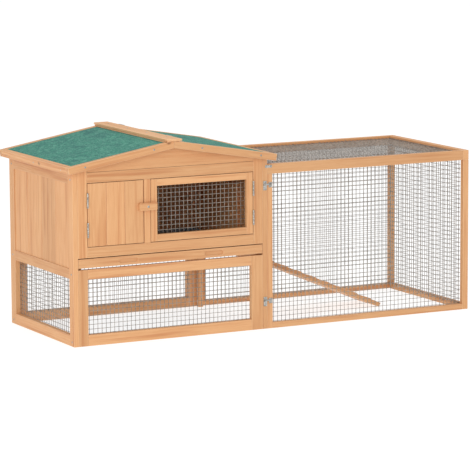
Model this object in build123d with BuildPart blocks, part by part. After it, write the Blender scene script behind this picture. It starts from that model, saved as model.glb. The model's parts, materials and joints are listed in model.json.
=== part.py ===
"""Two-storey wooden rabbit hutch: a gabled house over a wired lower room, with a ramp down to a wire run.

The row frame has X along the hutch (house on the left, run on the right), Y from front to back and Z up.
Its origin is the middle of the footprint at ground level. All sizes are in millimetres.
"""

import os
from math import cos, radians, sin, tan

from build123d import *

os.makedirs("parts", exist_ok=True)

# ---------------------------------------------------------------- overall sizes
house_length = 727.0  # over the outside faces of the side walls
house_depth = 532.0  # over the outside faces of the front and back
run_length = 805.0  # beyond the house's right wall
run_drop = 25.0  # top of the run below the top of the house's stiles
eave_rise = 11.5  # house's stiles above the upper front's top rail
roof_pitch = 9.8  # degrees
overhang_side = 26.0  # roof beyond the side walls
overhang_end = 26.0  # roof beyond the front and back

# ---------------------------------------------------------------- timber sections
wall = 18.0  # thickness of every frame member
stile = 35.0  # face width of the house stiles
side_back_stile = 39.0  # back stile of the side walls
board = 12.0  # tongue and groove boards
board_setback = 3.0  # boards lie this far behind the frame's face
groove_gap = 0.6  # between two boards at the face
groove_chamfer = 1.5
joint_gap = 0.2  # glue line between two frame members
gable_gap = 1.0  # open joint under each gable board

# ---------------------------------------------------------------- storeys, from the ground up
foot_rail = 37.0  # bottom rail of the lower panels
lower_top_rail = 33.0
lower_top = 257.5  # top of the lower front panel
drawer_gap_below = 6.0
drawer_front_height = 30.5
drawer_gap_above = 3.0
upper_rail = 35.0  # bottom and top rails of the upper front
door_opening_height = 215.5
side_mid_rail = 34.0
side_mid_below_drawer = 3.0
side_boards_below_head = 2.0

# ---------------------------------------------------------------- front division
mullion_left = 262.5  # from the house's left face
mullion_width = 22.5
lower_right_stile = 43.0

# ---------------------------------------------------------------- doors
door_thickness = 15.0
door_rail = 23.5  # stiles and rails of the wire door
hinge_side_gap = 2.4
free_side_gap = 2.0
door_edge_gap = 2.0  # above and below
batten_width = 30.0
batten_thickness = 10.0
batten_inset = 28.0  # from the door's top and bottom
nest_board_count = 3

# ---------------------------------------------------------------- hinges (butt hinges with a proud barrel)
leaf = 1.0  # leaf thickness
door_leaf_width = 14.0  # how far a door leaf reaches into the joint
door_leaf_height = 50.0
door_hinge_inset = 31.0  # from the door's top and bottom to the leaf
barrel_radius = 3.0
pin_radius = 1.25
pin_clearance = 0.05  # radial running clearance
knuckle_gap = 0.3

# ---------------------------------------------------------------- turn button
button_length = 66.0
button_width = 26.0
button_thickness = 9.0
button_gap = 0.8
button_height_above_opening = 123.5  # its pivot above the opening's bottom
button_corner = 3.0
button_screw_radius = 2.0
button_screw_depth = 12.0
button_head_radius = 4.2
button_head_height = 1.6
button_head_taper = 20.0  # degrees

# ---------------------------------------------------------------- drawer
drawer_side_gap = 1.0
drawer_front_thickness = 15.0
slot_length = 72.0
slot_height = 15.0
slot_depth = 5.0
slot_offset = 160.0  # each finger slot's middle from the drawer's middle
tray_sheet = 1.0
tray_depth = 25.0
tray_left_gap = 5.0
tray_right_gap = 14.0
tray_back_gap = 3.0
tray_float = 0.5  # tray above its runners
runner_width = 20.0
runner_height = 19.0
runner_end_gap = 2.0

# ---------------------------------------------------------------- board between the two rooms
partition_thickness = 12.0
partition_gap = 0.5
partition_door_width = 160.0
partition_door_height = 180.0
partition_door_centre = 60.0

# ---------------------------------------------------------------- doorway, pop door and ramp
doorway_width = 150.0
doorway_centre = -2.0
over_doorway = 84.0  # height of the boards over it
pop_door_thickness = 6.0
pop_door_lap = 10.0  # past the doorway on each side
pop_door_top_lap = 12.5
guide_lip = 5.0
guide_gap = 0.5
guide_lip_height = 10.0
guide_cap_height = 9.0
knob_radius = 8.0
knob_length = 12.0
knob_edge = 2.0  # rounding of its free end
knob_from_edge = 34.0  # its middle from the pop door's front edge
ramp_width = 157.0
ramp_slope = 22.9  # degrees below level
ramp_thickness = 15.0
ramp_hinge_below_sill = 10.0
ramp_floor_gap = 0.5
ramp_wall_gap = 0.5
ramp_leaf_length = 24.0
ramp_hinge_length = 30.0
ramp_hinge_spread = 90.0
cleat_width = 10.0
cleat_height = 2.5
cleat_count = 9
cleat_end_gap = 6.0

# ---------------------------------------------------------------- roof
fascia = 20.0  # thickness of the fascias
fascia_height = 24.0
felt = 3.0
felt_below_fascia = 1.0
roof_board = 11.0
roof_seat_gap = 1.0
ridge_rail = 22.0
mitre_gap = 0.4
cap_width = 54.0
cap_thickness = 7.0
cap_end = 5.0  # cap beyond the fascias
cap_edge = 1.2  # chamfer along its top edges
cap_bed_gap = 0.3  # between the wedge that beds it and the left slope
cap_bed_inset = 1.5  # wedge behind the cap's left edge
cap_leaf_under = 16.0  # how far a hinge leaf reaches under it
lid_gap = 3.0  # from the cap's edge to the lid's ridge rail
roof_hinge_length = 40.0
roof_hinge_offset = 190.0  # each roof hinge from the middle of the depth
roof_leaf_width = 18.0

# ---------------------------------------------------------------- run
run_stile = 20.0
run_end_thickness = 22.0
run_top_rail = 34.0
run_foot_rail = 20.0
run_top_recess = 10.0  # top mesh below the top of the rails
run_top_strip = 15.0
run_top_strip_height = 18.0

# ---------------------------------------------------------------- welded mesh, a sheet with every third wire
wire = 1.2
mesh_pitch = 15.5
wires_per_bar = 3
bar_width = 2.8
mesh_lap = 6.0  # mesh behind the frame on each side

# ---------------------------------------------------------------- latches, bracket and screws
plate = 1.5
latch_plate_width = 13.0
latch_plate_height = 32.0
keep_width = 13.0
keep_height = 18.0
stud_radius = 2.0
stud_length = 7.0
hook_thickness = 2.5
hook_width = 5.0
hook_gap = 0.5
stud_clearance = 0.2
latch_plate_drop = 4.0  # middle of the plate below its stud
keep_drop = 2.0
latch_reach = 21.0  # from the hook's pivot to the stud it drops over
lower_latch_height = 99.0
upper_latch_below_run_top = 69.0
back_latch_height = 300.0
bracket_leg = 26.0
bracket_width = 9.0
bracket_shift = 5.0  # its middle from the joint, towards the run
bracket_below_top = 3.0
screw_head_radius = 3.4
screw_head_height = 0.8
screw_head_taper = 30.0  # degrees
foot_screw_height = 15.0
eave_screw_drop = 33.0
cap_screw_inset = 60.0
left_rake_screws = (78.0, 334.0)  # down the slope from the ridge
right_rake_screws = (108.0, 334.0)
eave_screw_inset = 64.0  # from the roof's front and back

# ---------------------------------------------------------------- worked out from the above
overall_length = overhang_side + house_length + run_length
roof_left = -overall_length / 2
left = roof_left + overhang_side  # house's left face
right = left + house_length  # house's right face, where the run begins
run_right = right + run_length
front = -house_depth / 2
back = house_depth / 2
inner_left = left + wall
inner_right = right - wall
inner_front = front + wall
inner_back = back - wall

drawer_bottom = lower_top + drawer_gap_below
drawer_top = drawer_bottom + drawer_front_height
upper_bottom = drawer_top + drawer_gap_above
door_sill = upper_bottom + upper_rail
door_head = door_sill + door_opening_height
front_frame_top = door_head + upper_rail
wall_top = front_frame_top + eave_rise
side_mid_top = drawer_bottom - side_mid_below_drawer
side_boards_top = door_head - side_boards_below_head
doorway_top = side_boards_top - over_doorway
run_height = wall_top - run_drop
front_latch_heights = (lower_latch_height, run_height - upper_latch_below_run_top)

slope = radians(roof_pitch)
half_span = house_length / 2 + overhang_side
slope_length = half_span / cos(slope)
roof_build = felt_below_fascia + felt + roof_board  # fascia top to underside of the boards
roof_over_walls = roof_build / cos(slope) + roof_seat_gap
ridge_x = left + house_length / 2
ridge_z = wall_top + roof_over_walls + house_length / 2 * tan(slope)
cap_top = ridge_z + cap_thickness


def roof_underside(x):
    """Height of the roof boards' underside over the given x, less the seating gap."""
    return ridge_z - abs(x - ridge_x) * tan(slope) - roof_over_walls


mullion_x = left + mullion_left
mullion_right = mullion_x + mullion_width
partition_x = mullion_x + mullion_width / 2
front_left_stile = inner_left + stile
front_right_stile = inner_right - stile
side_front_stile_y = front + stile
side_back_stile_y = back - side_back_stile
bar_step = mesh_pitch * wires_per_bar  # between two bars of a mesh sheet


# ---------------------------------------------------------------- shared shapes
def bar(x, y, z):
    """Adds one straight square-edged piece that spans the given limits on each axis."""
    with Locations(((x[0] + x[1]) / 2, (y[0] + y[1]) / 2, (z[0] + z[1]) / 2)):
        Box(x[1] - x[0], y[1] - y[0], z[1] - z[0])


def across_x(origin):
    """An upright plane through the origin that faces the back, with its own x along the hutch."""
    return Plane(origin=origin, x_dir=(1, 0, 0), z_dir=(0, 1, 0))


def short_of(limits, gap=joint_gap):
    """The same span, less the glue line at both ends."""
    return (limits[0] + gap, limits[1] - gap)


def frame_x(x, y, z, stiles, rails):
    """Adds two stiles and two rails across X, with the widths (left, right) and heights (bottom, top)."""
    bar((x[0], x[0] + stiles[0]), y, z)
    bar((x[1] - stiles[1], x[1]), y, z)
    between = short_of((x[0] + stiles[0], x[1] - stiles[1]))
    bar(between, y, (z[0], z[0] + rails[0]))
    bar(between, y, (z[1] - rails[1], z[1]))


def boards_across_x(x, faces, z, count):
    """Adds upright boards side by side along X. faces is (outer, inner) in Y; the outer is chamfered."""
    pitch = (x[1] - x[0]) / count
    turn = 1 if faces[1] > faces[0] else -1
    for i in range(count):
        low = x[0] + i * pitch + groove_gap / 2
        high = x[0] + (i + 1) * pitch - groove_gap / 2
        with BuildSketch(Plane.XY.offset(z[0])) as outline:
            with BuildLine():
                Polyline(
                    (low + groove_chamfer, faces[0]),
                    (high - groove_chamfer, faces[0]),
                    (high, faces[0] + turn * groove_chamfer),
                    (high, faces[1]),
                    (low, faces[1]),
                    (low, faces[0] + turn * groove_chamfer),
                    close=True,
                )
            make_face()
        extrude(outline.sketch, amount=z[1] - z[0])


def boards_across_y(y, faces, z, count):
    """Adds upright boards side by side along Y. faces is (outer, inner) in X; the outer is chamfered."""
    pitch = (y[1] - y[0]) / count
    turn = 1 if faces[1] > faces[0] else -1
    for i in range(count):
        low = y[0] + i * pitch + groove_gap / 2
        high = y[0] + (i + 1) * pitch - groove_gap / 2
        with BuildSketch(Plane.XY.offset(z[0])) as outline:
            with BuildLine():
                Polyline(
                    (faces[0], low + groove_chamfer),
                    (faces[0], high - groove_chamfer),
                    (faces[0] + turn * groove_chamfer, high),
                    (faces[1], high),
                    (faces[1], low),
                    (faces[0] + turn * groove_chamfer, low),
                    close=True,
                )
            make_face()
        extrude(outline.sketch, amount=z[1] - z[0])


def mesh_sheet(plane, width, height):
    """Adds a welded mesh panel centred on the plane, one wire thick along its normal."""
    hole = bar_step - bar_width
    across = int((width - bar_width) // bar_step)
    up = int((height - bar_width) // bar_step)
    with BuildSketch(plane) as outline:
        Rectangle(width, height)
        with GridLocations(bar_step, bar_step, across, up):
            Rectangle(hole, hole, mode=Mode.SUBTRACT)
    extrude(outline.sketch, amount=wire)


def knuckles(plane, length, own, pin=pin_radius):
    """Adds one hinge leaf's knuckles along the plane's normal: 'outer' for both ends, 'middle' for one."""
    third = length / 3
    spans = ((-length / 2, -third / 2), (third / 2, length / 2))
    if own == "middle":
        spans = ((-third / 2 + knuckle_gap, third / 2 - knuckle_gap),)
    for low, high in spans:
        with BuildSketch(plane.offset(low)) as outline:
            Circle(barrel_radius)
            Circle(pin + pin_clearance, mode=Mode.SUBTRACT)
        extrude(outline.sketch, amount=high - low)


def screw_heads(places, normal):
    """Adds a low domed screw head on the surface at each place, facing along the normal."""
    for place in places:
        with BuildSketch(Plane(origin=place, z_dir=normal)) as outline:
            Circle(screw_head_radius)
        extrude(outline.sketch, amount=screw_head_height, taper=screw_head_taper)


def save(piece, name):
    """Labels a finished piece and writes its STEP file."""
    piece.part.label = name
    export_step(piece.part, "parts/" + name + ".step")


# ================================================================ left wall
lower_window_y = (side_front_stile_y, side_back_stile_y)
side_mid_z = (side_mid_top - side_mid_rail, side_mid_top)
with BuildPart() as left_wall_frame:
    bar((left, inner_left), (front, side_front_stile_y), (0, wall_top))
    bar((left, inner_left), (side_back_stile_y, back), (0, wall_top))
    for rail_z in ((0, foot_rail), side_mid_z, (side_boards_top, wall_top)):
        bar((left, inner_left), short_of(lower_window_y), rail_z)
save(left_wall_frame, "left_wall_frame")

side_board_z = short_of((side_mid_top, side_boards_top))
left_board_faces = (left + board_setback, left + board_setback + board)
with BuildPart() as left_wall_boards:
    boards_across_y(lower_window_y, left_board_faces, side_board_z, 4)
save(left_wall_boards, "left_wall_boards")


def mesh_on_x(x, y, z):
    """Adds a mesh panel across Y and Z whose near face is at x, lapping behind its frame."""
    centre = (x, (y[0] + y[1]) / 2, (z[0] + z[1]) / 2)
    sheet = Plane(origin=centre, x_dir=(0, 1, 0), z_dir=(1, 0, 0))
    mesh_sheet(sheet, y[1] - y[0] + 2 * mesh_lap, z[1] - z[0] + 2 * mesh_lap)


def mesh_on_y(x, y, z):
    """Adds a mesh panel across X and Z whose near face is at y, lapping behind its frame."""
    centre = ((x[0] + x[1]) / 2, y, (z[0] + z[1]) / 2)
    sheet = Plane(origin=centre, x_dir=(-1, 0, 0), z_dir=(0, 1, 0))
    mesh_sheet(sheet, x[1] - x[0] + 2 * mesh_lap, z[1] - z[0] + 2 * mesh_lap)


with BuildPart() as left_wall_mesh:
    mesh_on_x(inner_left, lower_window_y, (foot_rail, side_mid_z[0]))
save(left_wall_mesh, "left_wall_mesh")

# ================================================================ right wall, open below to the run
with BuildPart() as right_wall_frame:
    bar((inner_right, right), (front, side_front_stile_y), (0, wall_top))
    bar((inner_right, right), (side_back_stile_y, back), (0, wall_top))
    for rail_z in (side_mid_z, (side_boards_top, wall_top)):
        bar((inner_right, right), short_of(lower_window_y), rail_z)
save(right_wall_frame, "right_wall_frame")

doorway = (doorway_centre - doorway_width / 2, doorway_centre + doorway_width / 2)
right_board_faces = (right - board_setback, right - board_setback - board)
over_doorway_z = (doorway_top, side_board_z[1])
with BuildPart() as right_wall_boards:
    boards_across_y((side_front_stile_y, doorway[0]), right_board_faces, side_board_z, 2)
    boards_across_y(doorway, right_board_faces, over_doorway_z, 2)
    boards_across_y((doorway[1], side_back_stile_y), right_board_faces, side_board_z, 2)
save(right_wall_boards, "right_wall_boards")

# ================================================================ back wall
back_span = (inner_left + joint_gap, inner_right - joint_gap)
back_window_x = (back_span[0] + stile, back_span[1] - stile)
back_mid_bottom = lower_top - lower_top_rail
with BuildPart() as back_wall_frame:
    bar((back_span[0], back_window_x[0]), (inner_back, back), (0, wall_top))
    bar((back_window_x[1], back_span[1]), (inner_back, back), (0, wall_top))
    for rail_z in ((0, foot_rail), (back_mid_bottom, upper_bottom), (door_head, front_frame_top)):
        bar(short_of(back_window_x), (inner_back, back), rail_z)
save(back_wall_frame, "back_wall_frame")

back_board_faces = (back - board_setback, back - board_setback - board)
with BuildPart() as back_wall_boards:
    boards_across_x(back_window_x, back_board_faces, short_of((upper_bottom, door_head)), 8)
save(back_wall_boards, "back_wall_boards")

with BuildPart() as back_wall_mesh:
    mesh_on_y(back_window_x, inner_back - wire, (foot_rail, back_mid_bottom))
save(back_wall_mesh, "back_wall_mesh")


def gable(x, plane_y, base):
    """Adds a gable board between the stiles, cut to the underside of the roof."""
    with BuildSketch(Plane.XZ.offset(-plane_y)) as outline:
        with BuildLine():
            Polyline(
                (x[0], base),
                (x[1], base),
                (x[1], roof_underside(x[1])),
                (ridge_x, roof_underside(ridge_x)),
                (x[0], roof_underside(x[0])),
                close=True,
            )
        make_face()
    extrude(outline.sketch, amount=wall)


gable_x = short_of((front_left_stile, front_right_stile))
with BuildPart() as back_gable_board:
    gable(gable_x, back, front_frame_top + gable_gap)
save(back_gable_board, "back_gable_board")

# ================================================================ front of the house
upper_front_x = (inner_left + joint_gap, inner_right - joint_gap)
upper_rail_x = short_of((front_left_stile, front_right_stile))
with BuildPart() as upper_front_frame:
    bar((upper_front_x[0], front_left_stile), (front, inner_front), (upper_bottom, wall_top))
    bar((front_right_stile, upper_front_x[1]), (front, inner_front), (upper_bottom, wall_top))
    bar(upper_rail_x, (front, inner_front), (upper_bottom, door_sill))
    bar(upper_rail_x, (front, inner_front), (door_head, front_frame_top))
save(upper_front_frame, "upper_front_frame")

button_z = door_sill + button_height_above_opening
button_hole_depth = button_screw_depth + joint_gap
with BuildPart() as door_mullion:
    bar((mullion_x, mullion_right), (front, inner_front), short_of((door_sill, door_head)))
    with BuildSketch(Plane(origin=(partition_x, front, button_z), z_dir=(0, 1, 0))):
        Circle(button_screw_radius + pin_clearance)
    extrude(amount=button_hole_depth, mode=Mode.SUBTRACT)
save(door_mullion, "door_mullion")

with BuildPart() as front_gable_board:
    gable(gable_x, inner_front, front_frame_top + gable_gap)
save(front_gable_board, "front_gable_board")

lower_window_x = (upper_front_x[0] + stile, upper_front_x[1] - lower_right_stile)
with BuildPart() as lower_front_frame:
    frame_x(
        upper_front_x,
        (front, inner_front),
        (0, lower_top),
        (stile, lower_right_stile),
        (foot_rail, lower_top_rail),
    )
save(lower_front_frame, "lower_front_frame")

with BuildPart() as lower_front_mesh:
    mesh_on_y(lower_window_x, inner_front, (foot_rail, lower_top - lower_top_rail))
save(lower_front_mesh, "lower_front_mesh")

# ================================================================ inside the house
partition_top = min(
    roof_underside(partition_x - partition_thickness / 2),
    roof_underside(partition_x + partition_thickness / 2),
)
with BuildPart() as partition_board:
    with BuildSketch(Plane(origin=(partition_x, 0, 0), x_dir=(0, 1, 0), z_dir=(1, 0, 0))):
        with Locations((0, (upper_bottom + partition_top) / 2)):
            Rectangle(inner_back - inner_front - 2 * partition_gap, partition_top - upper_bottom)
        with Locations((partition_door_centre, upper_bottom + partition_door_height / 2)):
            Rectangle(partition_door_width, partition_door_height, mode=Mode.SUBTRACT)
    extrude(amount=partition_thickness / 2, both=True)
save(partition_board, "partition_board")

runner_top = drawer_bottom - tray_float
runner_z = (runner_top - runner_height, runner_top)
with BuildPart() as drawer_runners:
    runner_y = short_of((inner_front, inner_back), runner_end_gap)
    bar((inner_left, inner_left + runner_width), runner_y, runner_z)
    bar((inner_right - runner_width, inner_right), runner_y, runner_z)
save(drawer_runners, "drawer_runners")

# ================================================================ roof
left_slope = Plane(
    origin=(ridge_x, 0, ridge_z),
    x_dir=(-cos(slope), 0, -sin(slope)),
    z_dir=(-sin(slope), 0, cos(slope)),
)
right_slope = Plane(
    origin=(ridge_x, 0, ridge_z),
    x_dir=(cos(slope), 0, -sin(slope)),
    z_dir=(sin(slope), 0, cos(slope)),
)
roof_end = house_depth / 2 + overhang_end
rake_inner = roof_end - fascia
eave_inner = slope_length - fascia
panel_depth = short_of((-rake_inner, rake_inner))
left_rail_start = mitre_gap + fascia_height * tan(slope)
left_field = (left_rail_start + ridge_rail + joint_gap, eave_inner - joint_gap)
right_rail_start = (cap_width / 2 + lid_gap) / cos(slope)
right_field = (right_rail_start + ridge_rail + joint_gap, eave_inner - joint_gap)
felt_normal = (-felt_below_fascia - felt, -felt_below_fascia)
board_normal = (-roof_build, -felt_below_fascia - felt)


def fascia_frame(rail_start):
    """Adds one roof slope's two rake fascias, its eave fascia and its ridge rail."""
    for side in (-1, 1):
        rake = sorted((side * rake_inner, side * roof_end))
        bar((-fascia_height, slope_length), rake, (-fascia_height, 0))
    bar((eave_inner, slope_length), panel_depth, (-fascia_height, 0))
    bar((rail_start, rail_start + ridge_rail), panel_depth, (-roof_build, 0))


with BuildPart(left_slope) as left_roof_board:
    bar(left_field, panel_depth, board_normal)
save(left_roof_board, "left_roof_board")

with BuildPart(left_slope) as left_roof_felt:
    bar(left_field, panel_depth, felt_normal)
save(left_roof_felt, "left_roof_felt")

left_mitre = Plane(origin=(ridge_x - mitre_gap / 2, 0, ridge_z), z_dir=(1, 0, 0))
with BuildPart(left_slope) as left_roof_fascias:
    fascia_frame(left_rail_start)
    split(bisect_by=left_mitre, keep=Keep.BOTTOM)
save(left_roof_fascias, "left_roof_fascias")

with BuildPart(right_slope) as right_roof_board:
    bar(right_field, panel_depth, board_normal)
save(right_roof_board, "right_roof_board")

with BuildPart(right_slope) as right_roof_felt:
    bar(right_field, panel_depth, felt_normal)
save(right_roof_felt, "right_roof_felt")

right_mitre = Plane(origin=(ridge_x + mitre_gap / 2, 0, ridge_z), z_dir=(1, 0, 0))
with BuildPart(right_slope) as right_roof_fascias:
    fascia_frame(right_rail_start)
    split(bisect_by=right_mitre, keep=Keep.TOP)
save(right_roof_fascias, "right_roof_fascias")

cap_x = (ridge_x - cap_width / 2, ridge_x + cap_width / 2)
cap_reach = roof_end + cap_end
bed_left = cap_x[0] + cap_bed_inset
bed_top = ridge_z - joint_gap
bed_bottom = ridge_z + cap_bed_gap - (ridge_x - bed_left) * tan(slope)
bed_tip = ridge_x - (joint_gap + cap_bed_gap) / tan(slope)
with BuildPart() as ridge_cap:
    bar(cap_x, (-cap_reach, cap_reach), (ridge_z, cap_top))
    chamfer(ridge_cap.faces().sort_by(Axis.Z)[-1].edges(), length=cap_edge)
    with BuildSketch(Plane.XZ.offset(-roof_end)):
        with BuildLine():
            Polyline((bed_left, bed_top), (bed_left, bed_bottom), (bed_tip, bed_top), close=True)
        make_face()
    extrude(amount=2 * roof_end)
save(ridge_cap, "ridge_cap")

# Roof hinges: one leaf bent round the cap's edge, a cranked leaf down to the lid's ridge rail
lid_axis_x = cap_x[1] + leaf + knuckle_gap + barrel_radius
lid_axis_z = cap_top - barrel_radius
roof_hinge_places = (-roof_hinge_offset, roof_hinge_offset)
lid_face = Vector(cos(slope), 0, -sin(slope))  # down the lid's slope
lid_normal = Vector(sin(slope), 0, cos(slope))
lid_rail_edge = Vector(ridge_x, 0, ridge_z) + lid_face * right_rail_start
crank_x = lid_axis_x + pin_radius + 2 * pin_clearance
crank_foot = lid_rail_edge.Z + (lid_rail_edge.X - crank_x) * tan(slope)
lid_leaf_end = lid_rail_edge + lid_face * roof_leaf_width
lid_leaf_top = lid_leaf_end + lid_normal * leaf


def across_y(origin):
    """The plane through the origin that an axis along Y crosses squarely."""
    return Plane(origin=origin, z_dir=(0, 1, 0))


def roof_barrel(y):
    """The plane across one roof hinge's axis."""
    return across_y((lid_axis_x, y, lid_axis_z))


hinge_third = roof_hinge_length / 3
outer_knuckles = (
    (-roof_hinge_length / 2, -hinge_third / 2),
    (hinge_third / 2, roof_hinge_length / 2),
)
cap_leaf_x = (cap_x[1], cap_x[1] + leaf)
cap_leaf_z = (ridge_z, cap_top - cap_edge)
cap_under_x = (cap_x[1] - cap_leaf_under, cap_leaf_x[1])
cap_under_z = (ridge_z - leaf, ridge_z)
cap_neck_x = (cap_x[1], lid_axis_x - pin_radius - 2 * pin_clearance)
cap_neck_z = (lid_axis_z - leaf / 2, lid_axis_z + leaf / 2)
with BuildPart() as roof_hinge_cap_leaves:
    for hinge_y in roof_hinge_places:
        knuckles(roof_barrel(hinge_y), roof_hinge_length, "outer")
        leaf_y = (hinge_y - roof_hinge_length / 2, hinge_y + roof_hinge_length / 2)
        bar(cap_leaf_x, leaf_y, cap_leaf_z)
        bar(cap_under_x, leaf_y, cap_under_z)
        for low, high in outer_knuckles:
            bar(cap_neck_x, (hinge_y + low, hinge_y + high), cap_neck_z)
save(roof_hinge_cap_leaves, "roof_hinge_cap_leaves")

middle_knuckle = (-hinge_third / 2 + knuckle_gap, hinge_third / 2 - knuckle_gap)
with BuildPart() as roof_hinge_lid_leaves:
    for hinge_y in roof_hinge_places:
        knuckles(roof_barrel(hinge_y), roof_hinge_length, "middle")
        with BuildSketch(Plane.XZ.offset(-hinge_y - middle_knuckle[1])):
            with BuildLine():
                Polyline(
                    (crank_x, lid_axis_z),
                    (crank_x, crank_foot),
                    (lid_leaf_end.X, lid_leaf_end.Z),
                    (lid_leaf_top.X, lid_leaf_top.Z),
                    (crank_x + leaf, crank_foot + leaf),
                    (crank_x + leaf, lid_axis_z),
                    close=True,
                )
            make_face()
        extrude(amount=middle_knuckle[1] - middle_knuckle[0])
save(roof_hinge_lid_leaves, "roof_hinge_lid_leaves")

# ================================================================ nest door
nest_x = (front_left_stile + hinge_side_gap, mullion_x - free_side_gap)
door_z = (door_sill + door_edge_gap, door_head - door_edge_gap)
door_y = (front, front + door_thickness)
with BuildPart() as nest_door_boards:
    boards_across_x(nest_x, door_y, door_z, nest_board_count)
save(nest_door_boards, "nest_door_boards")

batten_y = (door_y[1], door_y[1] + batten_thickness)
batten_x = (nest_x[0] + door_leaf_width, nest_x[1] - door_leaf_width)
with BuildPart() as nest_door_battens:
    for low in (door_z[0] + batten_inset, door_z[1] - batten_inset - batten_width):
        bar(batten_x, batten_y, (low, low + batten_width))
save(nest_door_battens, "nest_door_battens")

# ================================================================ wire door
wire_door_x = (mullion_right + free_side_gap, front_right_stile - hinge_side_gap)
with BuildPart() as wire_door_frame:
    frame_x(wire_door_x, door_y, door_z, (door_rail, door_rail), (door_rail, door_rail))
save(wire_door_frame, "wire_door_frame")

wire_door_window = (wire_door_x[0] + door_rail, wire_door_x[1] - door_rail)
with BuildPart() as wire_door_mesh:
    mesh_on_y(wire_door_window, door_y[1], (door_z[0] + door_rail, door_z[1] - door_rail))
save(wire_door_mesh, "wire_door_mesh")

# ================================================================ door hinges
hinge_axis_y = front - barrel_radius
nest_axis_x = front_left_stile + hinge_side_gap / 2
wire_axis_x = front_right_stile - hinge_side_gap / 2
door_hinge_z = (
    door_z[0] + door_hinge_inset + door_leaf_height / 2,
    door_z[1] - door_hinge_inset - door_leaf_height / 2,
)
leaf_offset = hinge_side_gap / 2 - leaf  # from the hinge axis to the leaf's near face
door_third = door_leaf_height / 3


def door_leaf(axis_x, z, side, own):
    """Adds one leaf of a door hinge, left of the axis where side is -1 and right of it where side is 1."""
    knuckles(Plane.XY.offset(z).move(Location((axis_x, hinge_axis_y, 0))), door_leaf_height, own)
    spans = ((-door_leaf_height / 2, -door_third / 2), (door_third / 2, door_leaf_height / 2))
    if own == "middle":
        spans = ((-door_third / 2 + knuckle_gap, door_third / 2 - knuckle_gap),)
    leaf_x = sorted((axis_x + side * leaf_offset, axis_x + side * (leaf_offset + leaf)))
    leaf_z = (z - door_leaf_height / 2, z + door_leaf_height / 2)
    bar(leaf_x, (front, front + door_leaf_width), leaf_z)
    neck_y = (hinge_axis_y + pin_radius + 2 * pin_clearance, front + leaf)
    for low, high in spans:
        bar(leaf_x, neck_y, (z + low, z + high))


with BuildPart() as door_hinge_post_leaves:
    for hinge_z in door_hinge_z:
        door_leaf(nest_axis_x, hinge_z, -1, "outer")
        door_leaf(wire_axis_x, hinge_z, 1, "outer")
save(door_hinge_post_leaves, "door_hinge_post_leaves")

with BuildPart() as nest_door_hinge_leaves:
    for hinge_z in door_hinge_z:
        door_leaf(nest_axis_x, hinge_z, 1, "middle")
save(nest_door_hinge_leaves, "nest_door_hinge_leaves")

with BuildPart() as wire_door_hinge_leaves:
    for hinge_z in door_hinge_z:
        door_leaf(wire_axis_x, hinge_z, -1, "middle")
save(wire_door_hinge_leaves, "wire_door_hinge_leaves")

# ================================================================ turn button
button_y = (front - button_gap - button_thickness, front - button_gap)
with BuildPart() as turn_button:
    with BuildSketch(across_x((partition_x, button_y[0], button_z))):
        RectangleRounded(button_length, button_width, radius=button_corner)
        Circle(button_screw_radius + pin_clearance, mode=Mode.SUBTRACT)
    extrude(amount=button_thickness)
save(turn_button, "turn_button")

# ================================================================ drawer
drawer_x = (inner_left + drawer_side_gap, inner_right - drawer_side_gap)
drawer_centre_x = (drawer_x[0] + drawer_x[1]) / 2
drawer_centre_z = (drawer_bottom + drawer_top) / 2
with BuildPart() as drawer_front:
    with BuildSketch(across_x((drawer_centre_x, front, drawer_centre_z))):
        Rectangle(drawer_x[1] - drawer_x[0], drawer_front_height)
    extrude(amount=drawer_front_thickness)
    with BuildSketch(across_x((drawer_centre_x, front, drawer_centre_z))):
        with Locations((-slot_offset, 0), (slot_offset, 0)):
            SlotOverall(slot_length, slot_height)
    extrude(amount=slot_depth, mode=Mode.SUBTRACT)
save(drawer_front, "drawer_front")

tray_x = (inner_left + tray_left_gap, inner_right - tray_right_gap)
tray_y = (front + drawer_front_thickness, inner_back - tray_back_gap)
tray_z = (drawer_bottom, drawer_bottom + tray_depth)
with BuildPart() as drawer_tray:
    bar(tray_x, tray_y, tray_z)
    offset(amount=-tray_sheet, openings=drawer_tray.faces().sort_by(Axis.Z)[-1])
save(drawer_tray, "drawer_tray")

# ================================================================ pop door in the right wall
pop_outer = inner_right - guide_gap
pop_inner = pop_outer - pop_door_thickness
pop_y = (doorway[0] - pop_door_lap, doorway[1] + pop_door_lap)
pop_z = (runner_top + guide_gap, doorway_top + pop_door_top_lap)
with BuildPart() as pop_door:
    bar((pop_inner, pop_outer), pop_y, pop_z)
save(pop_door, "pop_door")

knob_place = (pop_inner, pop_y[0] + knob_from_edge, (pop_z[0] + pop_z[1]) / 2)
with BuildPart() as pop_door_knob:
    with BuildSketch(Plane(origin=knob_place, z_dir=(-1, 0, 0))):
        Circle(knob_radius)
    extrude(amount=knob_length)
    fillet(pop_door_knob.faces().sort_by(Axis.X)[0].edges(), radius=knob_edge)
save(pop_door_knob, "pop_door_knob")

guide_x = (pop_inner - guide_gap - guide_lip, pop_inner - guide_gap)
guide_y = (pop_y[0], side_back_stile_y - joint_gap)
board_face = right - board_setback - board
with BuildPart() as pop_door_guides:
    bar(guide_x, guide_y, (runner_top, runner_top + guide_lip_height))
    with BuildSketch(Plane.XZ.offset(-guide_y[1])):
        with BuildLine():
            Polyline(
                (guide_x[0], pop_z[1] - guide_lip_height),
                (guide_x[1], pop_z[1] - guide_lip_height),
                (guide_x[1], pop_z[1] + guide_gap),
                (board_face, pop_z[1] + guide_gap),
                (board_face, pop_z[1] + guide_gap + guide_cap_height),
                (guide_x[0], pop_z[1] + guide_gap + guide_cap_height),
                close=True,
            )
        make_face()
    extrude(amount=guide_y[1] - guide_y[0])
save(pop_door_guides, "pop_door_guides")

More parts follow.
